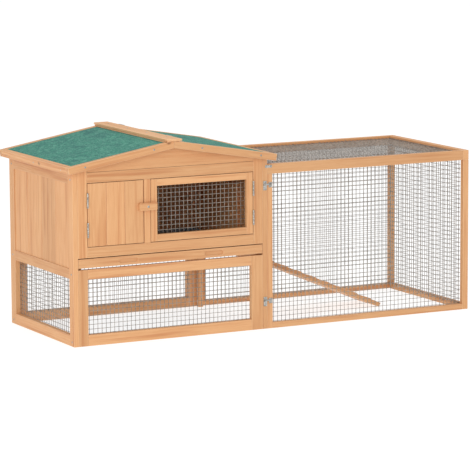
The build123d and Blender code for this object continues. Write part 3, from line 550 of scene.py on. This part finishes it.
def box_of(corners: Iterable[bmesh.types.BMVert]) -> tuple[Vector, Vector]:
    """Gives the lowest and highest corner of the box round some vertices."""
    places = [v.co for v in corners]
    low = Vector([min(place[i] for place in places) for i in range(3)])
    high = Vector([max(place[i] for place in places) for i in range(3)])
    return low, high


Rank = tuple[float, tuple[float, float, float]]  # a size, and a place that settles ties


@dataclass(frozen=True)
class Lie:
    """How one straight piece lies: its middle, its three directions from the longest, and its half sizes."""

    middle: Vector
    along: Vector
    across: Vector
    through: Vector
    half: Vector

    @classmethod
    def of(cls, corners: Sequence[bmesh.types.BMVert]) -> "Lie":
        """Reads a solid's lie from its longest edge and its largest face."""
        edges = {e for v in corners for e in v.link_edges}
        faces = {f for v in corners for f in v.link_faces}

        def by_length(edge: bmesh.types.BMEdge) -> Rank:
            return round(edge.calc_length(), LENGTH_DIGITS), edge.verts[0].co.to_tuple(LENGTH_DIGITS)

        def by_area(face: bmesh.types.BMFace) -> Rank:
            return round(face.calc_area(), AREA_DIGITS), face.calc_center_median().to_tuple(LENGTH_DIGITS)

        longest = max(edges, key=by_length)
        along = (longest.verts[1].co - longest.verts[0].co).normalized()
        if sum(along) < 0:
            along = -along
        sides = [f for f in faces if abs(f.normal.dot(along)) < LONG_SIDE]
        widest = max(sides, key=by_area)
        through = (widest.normal - along * widest.normal.dot(along)).normalized()
        across = through.cross(along)
        spans = []
        for direction in (along, across, through):
            reach = [v.co.dot(direction) for v in corners]
            spans.append((min(reach), max(reach)))
        shares = (d * (low + high) / 2 for d, (low, high) in zip((along, across, through), spans))
        middle = sum(shares, Vector())
        half = Vector([(high - low) / 2 for low, high in spans])
        return cls(middle, along, across, through, half)

    def local(self, point: Vector) -> Vector:
        """Gives a point's place in this lie's directions, from its middle."""
        offset = point - self.middle
        return Vector((offset.dot(self.along), offset.dot(self.across), offset.dot(self.through)))

    def world(self, u: float, v: float, w: float) -> Vector:
        """Gives the point at a place in this lie's directions."""
        return self.middle + self.along * u + self.across * v + self.through * w


def tube(shape: bmesh.types.BMesh, path: Sequence[Vector], radius: float, sides: int = 6) -> None:
    """Adds a round wire along a nearly straight path, closed at both ends.

    Args:
        shape: The mesh, which changes.
        path: The wire's points, in order.
        radius: The wire's radius, in metres.
        sides: How many faces go round it.
    """
    run = (path[-1] - path[0]).normalized()
    side = run.orthogonal().normalized()
    other = run.cross(side)
    rings = []
    turns = [2 * math.pi * i / sides for i in range(sides)]
    spokes = [side * math.cos(turn) + other * math.sin(turn) for turn in turns]
    for point in path:
        rings.append([shape.verts.new(point + spoke * radius) for spoke in spokes])
    for first, second in zip(rings, rings[1:]):
        for i in range(sides):
            j = (i + 1) % sides
            shape.faces.new((first[i], first[j], second[j], second[i])).smooth = True
    shape.faces.new(reversed(rings[0]))
    shape.faces.new(rings[-1])


@dataclass(frozen=True)
class ScrewHead:
    """A domed countersunk head with a cross recess."""

    place: Vector
    normal: Vector
    radius: float = 3.4 * MM
    height: float = 1.1 * MM
    slot_length: float = 0.62  # share of the radius
    slot_width: float = 0.17  # share of the radius
    slot_depth: float = 0.9 * MM
    least_rise: float = 0.1  # share of the height that is left under the recess
    steps: tuple[float, ...] = (0.1, 0.18, 0.3, 0.45, 0.6, 0.66, 0.85, 0.96, 1.0)  # rings, in radii
    sides: int = 32

    def add_to(self, shape: bmesh.types.BMesh) -> None:
        """Adds the head to a mesh."""
        normal = self.normal.normalized()
        side = normal.orthogonal().normalized()
        other = normal.cross(side)
        least = self.least_rise * self.height
        rings = []
        for step in self.steps:
            ring = []
            for i in range(self.sides):
                turn = 2 * math.pi * i / self.sides
                x, y = step * math.cos(turn), step * math.sin(turn)
                rise = self.height * math.sqrt(max(0.0, 1.0 - step**2))
                if max(abs(x), abs(y)) < self.slot_length and min(abs(x), abs(y)) < self.slot_width:
                    rise = max(least, rise - self.slot_depth)
                aside = (side * x + other * y) * self.radius
                ring.append(shape.verts.new(self.place + aside + normal * rise))
            rings.append(ring)
        bottom = shape.verts.new(self.place + normal * max(least, self.height - self.slot_depth))
        for i in range(self.sides):
            j = (i + 1) % self.sides
            shape.faces.new((bottom, rings[0][i], rings[0][j]))
            for inner, outer in zip(rings, rings[1:]):
                shape.faces.new((inner[i], outer[i], outer[j], inner[j]))
        shape.faces.new(reversed(rings[-1]))


# ------------------------------------------------------------------ the bench
class Bench:
    """Holds the finishes, turns shapes into pieces and lets each ride on its CAD body."""

    def __init__(self) -> None:
        """Makes each finish's material once."""
        self.materials = {slot: finish.material() for slot, finish in FINISHES.items()}

    def piece(
        self,
        name: str,
        shape: bmesh.types.BMesh,
        slot: Slot,
        body: str,
        replaced: Sequence[str] = (),
    ) -> bpy.types.Object:
        """Turns a shape into a finished piece.

        Args:
            name: The piece's name.
            shape: Its mesh, which is freed.
            slot: The record's slot that it is dressed from.
            body: The CAD body that it moves with.
            replaced: The CAD nodes that it stands for.

        Returns:
            The new object.
        """
        data = bpy.data.meshes.new(name)
        shape.to_mesh(data)
        shape.free()
        data.materials.append(self.materials[slot])
        made = bpy.data.objects.new(name, data)
        bpy.context.scene.collection.objects.link(made)
        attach(made, body)
        if replaced:
            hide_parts(*replaced)
        log.info("%s: %d faces in %s, on %s", name, len(data.polygons), slot.value, body)
        return made

    def timber(self, node: str, arris: float, slot: Slot = Slot.FIR) -> None:
        """Stands in for a CAD node of boards or battens: rounds their arrises and gives each its own grain.

        Args:
            node: The CAD node's name.
            arris: The radius that the edges are rounded to, in metres.
            slot: The wood's finish.
        """
        shape = whole_faces(node)
        edge_layer = shape.faces.layers.float.new(ARRIS)
        grain_layer = shape.verts.layers.float_vector.new(GRAIN)
        tint_layer = shape.verts.layers.float.new(TINT)
        for face in round_over(shape, arris):
            face[edge_layer] = 1.0
        draw = random.Random(node)
        for corners in solids_of(shape):
            lie = Lie.of(corners)
            from_start = draw.uniform(*SPAN_OF_LOG)
            aside = draw.uniform(*ASIDE_IN_LOG) * MM
            depth = draw.uniform(*DEPTH_IN_LOG) * MM
            log_middle = Vector((from_start, aside, depth))
            tint = draw.random()
            for corner in corners:
                corner[grain_layer] = lie.local(corner.co) + log_middle
                corner[tint_layer] = tint
        self.piece(node + "_timber", shape, slot, BODY_OF[node], [node])

    def metalwork(self, node: str, slot: Slot = Slot.ZINC, arris: float = 0.3 * MM) -> None:
        """Stands in for a CAD node of sheet metal or castings, with its edges broken."""
        shape = whole_faces(node)
        round_over(shape, arris, segments=1)
        self.piece(node + "_steel", shape, slot, BODY_OF[node], [node])

    def screws(self, name: str, heads: Iterable[ScrewHead], body: str, replaced: Sequence[str] = ()) -> None:
        """Adds a group of screw heads as one piece."""
        shape = bmesh.new()
        for head in heads:
            head.add_to(shape)
        self.piece(name, shape, Slot.ZINC, body, replaced)


# ------------------------------------------------------------------ parts that several sub-assemblies use
@dataclass(frozen=True)
class WeldedPanel:
    """A panel of welded wire mesh, stapled to the back of its frame."""

    node: str
    away: Away
    pitch: float = 15.5 * MM
    wire: float = 1.8 * MM  # the real wire is 1.2 mm; drawn this coarse so that it shows
    sink: float = 0.15 * MM  # how far two crossing wires melt into each other
    waver: float = 0.15 * MM
    bend_every: int = 3  # pitches between two slight bends
    staple_every: int = 7  # pitches between two staples
    staple_width: float = 7.0 * MM
    staple_wire: float = 0.9 * MM
    staple_from_edge: float = 3.0 * MM

    def wire_places(self, low: float, high: float) -> list[float]:
        """Spaces the wires evenly about the middle of a span."""
        count = int((high - low - self.wire) // self.pitch) + 1
        start = (low + high) / 2 - (count - 1) / 2 * self.pitch
        return [start + i * self.pitch for i in range(count)]

    def build(self, bench: Bench) -> None:
        """Lays the two layers of wires and the staples, and replaces the CAD sheet."""
        low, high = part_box(self.node)
        away = Vector(self.away.value)
        normal = next(i for i in range(3) if abs(away[i]) > 0.5)
        first, second = (i for i in range(3) if i != normal)
        face = low[normal] if away[normal] > 0 else high[normal]
        layers = (face + away[normal] * self.wire / 2, face + away[normal] * (1.5 * self.wire - self.sink))
        shape = bmesh.new()
        draw = random.Random(self.node)
        for layer, run, step in ((0, first, second), (1, second, first)):
            for place in self.wire_places(low[step], high[step]):
                path = self.path(draw, low, high, run, step, place, normal, layers[layer])
                tube(shape, path, self.wire / 2)
        outside = layers[1] + away[normal] * self.wire / 2
        self.staples(shape, low, high, (first, second), normal, outside, away)
        bench.piece(self.node + "_wires", shape, Slot.WIRE, BODY_OF[self.node], [self.node])

    def path(
        self,
        draw: random.Random,
        low: Vector,
        high: Vector,
        run: int,
        step: int,
        place: float,
        normal: int,
        depth: float,
    ) -> list[Vector]:
        """Bends one wire slightly between the panel's edges.

        Args:
            draw: The panel's random numbers.
            low: The panel's lowest corner.
            high: The panel's highest corner.
            run: The axis that the wire runs along.
            step: The axis that the wires are spaced along.
            place: The wire's place on that axis.
            normal: The axis across the panel.
            depth: The wire's place on that axis.

        Returns:
            The wire's points.
        """
        bends = max(1, round((high[run] - low[run]) / (self.pitch * self.bend_every)))
        points = []
        for i in range(bends + 1):
            point = Vector()
            point[run] = low[run] + (high[run] - low[run]) * i / bends
            point[step] = place + draw.uniform(-self.waver, self.waver)
            point[normal] = depth
            points.append(point)
        return points

    def staples(
        self,
        shape: bmesh.types.BMesh,
        low: Vector,
        high: Vector,
        axes: tuple[int, int],
        normal: int,
        depth: float,
        away: Vector,
    ) -> None:
        """Adds staples over the wires along the panel's four edges."""
        for run, step in (axes, axes[::-1]):
            places = self.wire_places(low[run], high[run])
            for edge in (low[step] + self.staple_from_edge, high[step] - self.staple_from_edge):
                for place in places[self.staple_every // 2 :: self.staple_every]:
                    ends = []
                    for offset in (-self.staple_width / 2, self.staple_width / 2):
                        end = Vector()
                        end[run] = place + offset
                        end[step] = edge
                        end[normal] = depth
                        ends.append(end)
                    tube(shape, ends, self.staple_wire / 2)
                    for end in ends:
                        tube(shape, [end, end - away * 2 * self.wire], self.staple_wire / 2)


@dataclass(frozen=True)
class FeltSheet:
    """One slope's sheet of roofing felt, laid with slight waves."""

    node: str
    cell: float = 12.0 * MM
    wave: float = 0.35 * MM
    swells: tuple[tuple[float, float], ...] = ((31.0, 9.0), (-12.0, 23.0))  # per metre: along and across
    edge_drop: float = 0.6 * MM

    def build(self, bench: Bench) -> None:
        """Lays the sheet over the CAD felt's own box, no higher than its face, and replaces it."""
        flat = whole_faces(self.node)
        lie = Lie.of(list(flat.verts))
        flat.free()
        up = 1.0 if lie.through.z > 0 else -1.0
        counts = [max(2, round(2 * lie.half[i] / self.cell)) for i in (0, 1)]
        shape = bmesh.new()
        rows, columns = range(counts[0] + 1), range(counts[1] + 1)
        top = [[self.corner(shape, lie, counts, i, j, up) for j in columns] for i in rows]
        base = [
            [shape.verts.new(lie.world(*self.spot(lie, counts, i, j), -up * lie.half[2])) for j in columns]
            for i in rows
        ]
        for i in range(counts[0]):
            for j in range(counts[1]):
                corners = ((i, j), (i + 1, j), (i + 1, j + 1), (i, j + 1))
                shape.faces.new([top[a][b] for a, b in corners]).smooth = True
                shape.faces.new([base[a][b] for a, b in reversed(corners)])
        rim = [(i, 0) for i in range(counts[0])]
        rim += [(counts[0], j) for j in range(counts[1])]
        rim += [(i, counts[1]) for i in range(counts[0], 0, -1)]
        rim += [(0, j) for j in range(counts[1], 0, -1)]
        for (a, b), (c, d) in zip(rim, rim[1:] + rim[:1]):
            shape.faces.new((base[a][b], base[c][d], top[c][d], top[a][b]))
        bmesh.ops.recalc_face_normals(shape, faces=shape.faces)
        bench.piece(self.node + "_granules", shape, Slot.FELT, BODY_OF[self.node], [self.node])

    def spot(self, lie: Lie, counts: Sequence[int], i: int, j: int) -> tuple[float, float]:
        """Gives a grid point's place along and across the sheet."""
        return lie.half[0] * (2 * i / counts[0] - 1), lie.half[1] * (2 * j / counts[1] - 1)

    def corner(
        self, shape: bmesh.types.BMesh, lie: Lie, counts: Sequence[int], i: int, j: int, up: float
    ) -> bmesh.types.BMVert:
        """Adds one corner of the waved top."""
        u, v = self.spot(lie, counts, i, j)
        swell = sum(math.sin(along * u + across * v) for along, across in self.swells)
        waves = 0.5 + 0.5 * swell / len(self.swells)
        on_edge = i in (0, counts[0]) or j in (0, counts[1])
        drop = self.edge_drop if on_edge else self.wave * waves
        return shape.verts.new(lie.world(u, v, up * (lie.half[2] - drop)))


# ------------------------------------------------------------------ sub-assemblies
@dataclass
class House:
    """The fixed timber of the house, from the ground to the top of its walls, and its meshes."""

    frames: tuple[str, ...] = (
        "left_wall_frame",
        "right_wall_frame",
        "back_wall_frame",
        "upper_front_frame",
        "lower_front_frame",
        "door_mullion",
        "drawer_runners",
        "pop_door_guides",
    )
    boards: tuple[str, ...] = (
        "left_wall_boards",
        "right_wall_boards",
        "back_wall_boards",
        "front_gable_board",
        "back_gable_board",
        "partition_board",
    )
    meshes: tuple[WeldedPanel, ...] = (
        WeldedPanel("left_wall_mesh", Away.RIGHT),
        WeldedPanel("back_wall_mesh", Away.FRONT),
        WeldedPanel("lower_front_mesh", Away.BACK),
    )
    frame_arris: float = 0.9 * MM
    board_arris: float = 0.4 * MM

    def build(self, bench: Bench) -> None:
        """Builds the walls, the floor's runners and the board between the rooms."""
        for node in self.frames:
            bench.timber(node, self.frame_arris)
        for node in self.boards:
            bench.timber(node, self.board_arris)
        for panel in self.meshes:
            panel.build(bench)


@dataclass
class Roof:
    """Both slopes, the ridge cap and the hinges on which the right slope lifts."""

    fascias: tuple[str, ...] = ("left_roof_fascias", "right_roof_fascias")
    decks: tuple[str, ...] = ("left_roof_board", "right_roof_board")
    felts: tuple[FeltSheet, ...] = (FeltSheet("left_roof_felt"), FeltSheet("right_roof_felt"))
    hinges: tuple[str, ...] = ("roof_hinge_cap_leaves", "roof_hinge_lid_leaves")
    fascia_arris: float = 1.4 * MM
    deck_arris: float = 0.5 * MM

    def build(self, bench: Bench) -> None:
        """Builds the two slopes, the cap and the hinges."""
        for node in self.fascias:
            bench.timber(node, self.fascia_arris)
        for node in self.decks:
            bench.timber(node, self.deck_arris)
        bench.timber("ridge_cap", self.fascia_arris, Slot.CAP)
        for felt in self.felts:
            felt.build(bench)
        for node in self.hinges:
            bench.metalwork(node)


@dataclass
class Doors:
    """The solid nest door, the wire door, their hinges and the button between them."""

    nest_boards: str = "nest_door_boards"
    battens: str = "nest_door_battens"
    wire_frame: str = "wire_door_frame"
    mesh: WeldedPanel = WeldedPanel("wire_door_mesh", Away.BACK, wire=2.0 * MM)
    hinges: tuple[str, ...] = (
        "door_hinge_post_leaves",
        "nest_door_hinge_leaves",
        "wire_door_hinge_leaves",
        "hinge_pins",
    )
    board_arris: float = 0.4 * MM
    door_arris: float = 0.9 * MM
    button_arris: float = 1.6 * MM
    hinge_arris: float = 0.2 * MM

    def build(self, bench: Bench) -> None:
        """Builds both doors and what holds them."""
        bench.timber(self.nest_boards, self.board_arris)
        bench.timber(self.battens, self.door_arris)
        bench.timber(self.wire_frame, self.door_arris)
        self.mesh.build(bench)
        bench.timber("turn_button", self.button_arris)
        for node in self.hinges:
            bench.metalwork(node, arris=self.hinge_arris)


@dataclass
class Drawer:
    """The pull-out drawer: its front with two finger recesses, and its litter tray."""

    front: str = "drawer_front"
    tray: str = "drawer_tray"
    front_arris: float = 1.0 * MM

    def build(self, bench: Bench) -> None:
        """Builds the front and the tray."""
        bench.timber(self.front, self.front_arris)
        bench.metalwork(self.tray, Slot.TRAY)


@dataclass
class WayOut:
    """The sliding pop door with its knob, and the ramp with its cleats and hinges."""

    boards: tuple[str, ...] = ("pop_door", "pop_door_knob", "ramp_board", "ramp_cleats")
    hinges: tuple[str, ...] = ("ramp_hinge_wall_leaves", "ramp_hinge_board_leaves")
    arris: float = 1.0 * MM
    hinge_arris: float = 0.2 * MM

    def build(self, bench: Bench) -> None:
        """Builds the pop door and the ramp."""
        for node in self.boards:
            bench.timber(node, self.arris)
        for node in self.hinges:
            bench.metalwork(node, arris=self.hinge_arris)


@dataclass
class Run:
    """The flat-topped wire run."""

    frames: tuple[str, ...] = ("run_front_frame", "run_back_frame", "run_end_frame", "run_top_frame")
    meshes: tuple[WeldedPanel, ...] = (
        WeldedPanel("run_front_mesh", Away.BACK),
        WeldedPanel("run_back_mesh", Away.FRONT),
        WeldedPanel("run_end_mesh", Away.LEFT),
        WeldedPanel("run_top_mesh", Away.UP),
    )
    arris: float = 1.0 * MM

    def build(self, bench: Bench) -> None:
        """Builds the run's frames and meshes."""
        for node in self.frames:
            bench.timber(node, self.arris)
        for panel in self.meshes:
            panel.build(bench)


@dataclass
class Fittings:
    """Latches and brackets that tie the run to the house, and every screw that shows."""

    plates: tuple[str, ...] = ("latch_plates", "latch_keeps")
    hooks: tuple[str, ...] = ("front_upper_hook", "front_lower_hook", "back_hook")
    brackets: str = "run_corner_brackets"
    plate_arris: float = 0.4 * MM
    hook_arris: float = 0.5 * MM
    plate_screw_radius: float = 1.9 * MM
    plate_screw_height: float = 0.8 * MM
    plate_screw_inset: float = 3.6 * MM
    plate_thickness: float = 1.5 * MM
    bracket_screw_radius: float = 2.6 * MM
    bracket_screw_height: float = 0.9 * MM
    bracket_screw_inset: float = 6.0 * MM
    long_screw_rise: float = 1.6 * MM  # the height of the long screw's domed head
    rod_ratio: float = 2.0  # the long screw is more than this many times as long as it is thin
    rod_width: float = 0.8  # and less wide than this share of its length
    end_depth: float = 0.05 * MM  # corners this near a screw's end belong to it

    def build(self, bench: Bench) -> None:
        """Builds the latches, the brackets and the screws."""
        for node in self.plates:
            bench.metalwork(node, arris=self.plate_arris)
        for node in self.hooks:
            bench.metalwork(node, arris=self.hook_arris)
        bench.metalwork(self.brackets, arris=self.plate_arris)
        bench.screws("fitting_screws", [*self.plate_screws(), *self.bracket_screws()], "root")
        for node, body in (("left_fascia_screws", "root"), ("lid_screws", "roof_lid")):
            bench.screws(node + "_heads", self.heads_of(node), body, [node])
        bench.screws("frame_screw_heads", self.heads_of("frame_screws"), "root", ["frame_screws"])

    def boxes(self, node: str) -> list[tuple[Vector, Vector]]:
        """Gives the lowest and highest corner of each solid of a CAD node."""
        shape = whole_faces(node)
        found = [box_of(corners) for corners in solids_of(shape)]
        shape.free()
        return found

    def plate_screws(self) -> list[ScrewHead]:
        """Puts a screw near the top and the bottom of each latch plate and keep."""
        heads = []
        for low, high in [box for node in self.plates for box in self.boxes(node)]:
            facing = -1 if low.y < 0 else 1
            root_face = high.y if facing < 0 else low.y
            middle = (low.x + high.x) / 2
            for z in (low.z + self.plate_screw_inset, high.z - self.plate_screw_inset):
                place = Vector((middle, root_face + facing * self.plate_thickness, z))
                out = Vector((0, facing, 0))
                heads.append(ScrewHead(place, out, self.plate_screw_radius, self.plate_screw_height))
        return heads

    def bracket_screws(self) -> list[ScrewHead]:
        """Puts a screw at each end of each corner bracket."""
        heads = []
        for low, high in self.boxes(self.brackets):
            facing = -1 if low.y < 0 else 1
            face = low.y if facing < 0 else high.y
            for x in (low.x + self.bracket_screw_inset, high.x - self.bracket_screw_inset):
                place = Vector((x, face, (low.z + high.z) / 2))
                out = Vector((0, facing, 0))
                heads.append(ScrewHead(place, out, self.bracket_screw_radius, self.bracket_screw_height))
        return heads

    def heads_of(self, node: str) -> list[ScrewHead]:
        """Reads where the CAD screw heads sit, and which way each faces.

        A head alone is a disc whose smaller end faces out. The long screw's wider end is its head.

        Args:
            node: The CAD node of the screws.

        Returns:
            A head for each of its solids.
        """
        shape = whole_faces(node)
        heads = []
        for corners in solids_of(shape):
            low, high = box_of(corners)
            size = high - low
            shortest, middling, largest = sorted(size)
            long_screw = largest > self.rod_ratio * shortest and middling < self.rod_width * largest
            pick = max if long_screw else min
            axis = pick(range(3), key=lambda i: size[i])
            middle = (low + high) / 2
            across = [i for i in range(3) if i != axis]
            centre = [middle[i] for i in across]
            reach = {}
            for side, end in ((-1, low[axis]), (1, high[axis])):
                ring = [v.co for v in corners if abs(v.co[axis] - end) < self.end_depth]
                reach[side] = max(math.dist([c[i] for i in across], centre) for c in ring)
            normal, place = Vector(), middle.copy()
            if long_screw:
                outward = max(reach, key=reach.get)
                radius = max(size[i] for i in across) / 2
                place[axis] = (low if outward < 0 else high)[axis] - outward * self.long_screw_rise
                normal[axis] = outward
                heads.append(ScrewHead(place, normal, radius, self.long_screw_rise))
                continue
            outward = min(reach, key=reach.get)
            place[axis] = (high if outward < 0 else low)[axis]
            normal[axis] = outward
            heads.append(ScrewHead(place, normal))
        shape.free()
        return heads


# ------------------------------------------------------------------ studio
@dataclass(frozen=True)
class Lamp:
    """One square soft box."""

    name: str
    place: tuple[float, float, float]
    size: float
    power: float


@dataclass
class Studio:
    """A pale floor, soft light and the camera."""

    camera_place: tuple[float, float, float] = (-4.6858, -9.0985, 1.8359)
    camera_turn: float = math.radians(27.18)  # from +Y towards +X
    camera_tilt: float = math.radians(-8.60)
    camera_roll: float = math.radians(-0.31)
    lens: float = 226.2  # millimetres, on a 36 mm sensor
    lamps: tuple[Lamp, ...] = (
        Lamp("key", (-3.4, -3.3, 1.9), 2.4, 55.0),
        Lamp("fill", (3.6, -3.0, 2.2), 3.0, 11.0),
        Lamp("top", (0.2, 0.4, 4.2), 3.6, 44.0),
    )
    floor_size: float = 60.0
    floor_drop: float = 0.2 * MM  # below the hutch's feet
    floor_roughness: float = 0.9
    floor_colour: str = "#969696"
    floor_glow: float = 0.8  # light from the paper itself, which keeps the shadows faint
    sky_strength: float = 0.65

    def build(self) -> None:
        """Sets up the floor, the lights and the camera."""
        self.floor()
        self.sky()
        for lamp in self.lamps:
            self.light(lamp)
        self.camera()

    def floor(self) -> None:
        """Lays a plain pale floor just under the hutch."""
        shape = bmesh.new()
        bmesh.ops.create_grid(shape, x_segments=1, y_segments=1, size=self.floor_size / 2)
        data = bpy.data.meshes.new("floor")
        shape.to_mesh(data)
        shape.free()
        made = blank_material("matt_white_floor")
        tree = made.node_tree
        settings = {
            "Base Color": linear(self.floor_colour),
            "Roughness": self.floor_roughness,
            "Emission Color": linear("#FFFFFF"),
            "Emission Strength": self.floor_glow,
        }
        shader = add(tree, "ShaderNodeBsdfPrincipled", settings)
        add(tree, "ShaderNodeOutputMaterial", {}, {"Surface": shader.outputs["BSDF"]})
        data.materials.append(made)
        floor = bpy.data.objects.new("floor", data)
        floor.location.z = -self.floor_drop
        bpy.context.scene.collection.objects.link(floor)

    def sky(self) -> None:
        """Surrounds the hutch with plain white light."""
        world = bpy.data.worlds.new("studio")
        world.use_nodes = True
        background = world.node_tree.nodes["Background"]
        background.inputs["Color"].default_value = (1.0, 1.0, 1.0, 1.0)
        background.inputs["Strength"].default_value = self.sky_strength
        bpy.context.scene.world = world
        bpy.context.scene.view_settings.view_transform = "Standard"

    def light(self, lamp: Lamp) -> None:
        """Adds one soft box, aimed at the hutch's middle."""
        data = bpy.data.lights.new(lamp.name, "AREA")
        data.size = lamp.size
        data.energy = lamp.power
        made = bpy.data.objects.new(lamp.name, data)
        made.location = lamp.place
        middle = (CAD_BOX[0] + CAD_BOX[1]) / 2
        made.rotation_euler = (middle - made.location).to_track_quat("-Z", "Y").to_euler()
        bpy.context.scene.collection.objects.link(made)

    def camera(self) -> None:
        """Aims the camera by its turn, tilt and roll."""
        turn, tilt = self.camera_turn, self.camera_tilt
        ahead = Vector((math.sin(turn) * math.cos(tilt), math.cos(turn) * math.cos(tilt), math.sin(tilt)))
        level = Vector((math.cos(turn), -math.sin(turn), 0.0))
        upright = level.cross(ahead)
        right = level * math.cos(self.camera_roll) + upright * math.sin(self.camera_roll)
        up = upright * math.cos(self.camera_roll) - level * math.sin(self.camera_roll)
        data = bpy.data.cameras.new("camera")
        data.lens = self.lens
        camera = bpy.data.objects.new("camera", data)
        aim = Matrix((right, up, -ahead)).transposed().to_4x4()
        camera.matrix_world = Matrix.Translation(self.camera_place) @ aim
        bpy.context.scene.collection.objects.link(camera)
        bpy.context.scene.camera = camera


def main() -> None:
    """Builds the studio and every sub-assembly."""
    logging.basicConfig(level=logging.INFO, format="%(name)s: %(message)s")
    Studio().build()
    bench = Bench()
    for part in (House(), Roof(), Doors(), Drawer(), WayOut(), Run(), Fittings()):
        log.info("building %s", type(part).__name__)
        part.build(bench)


if __name__ == "__main__":
    main()
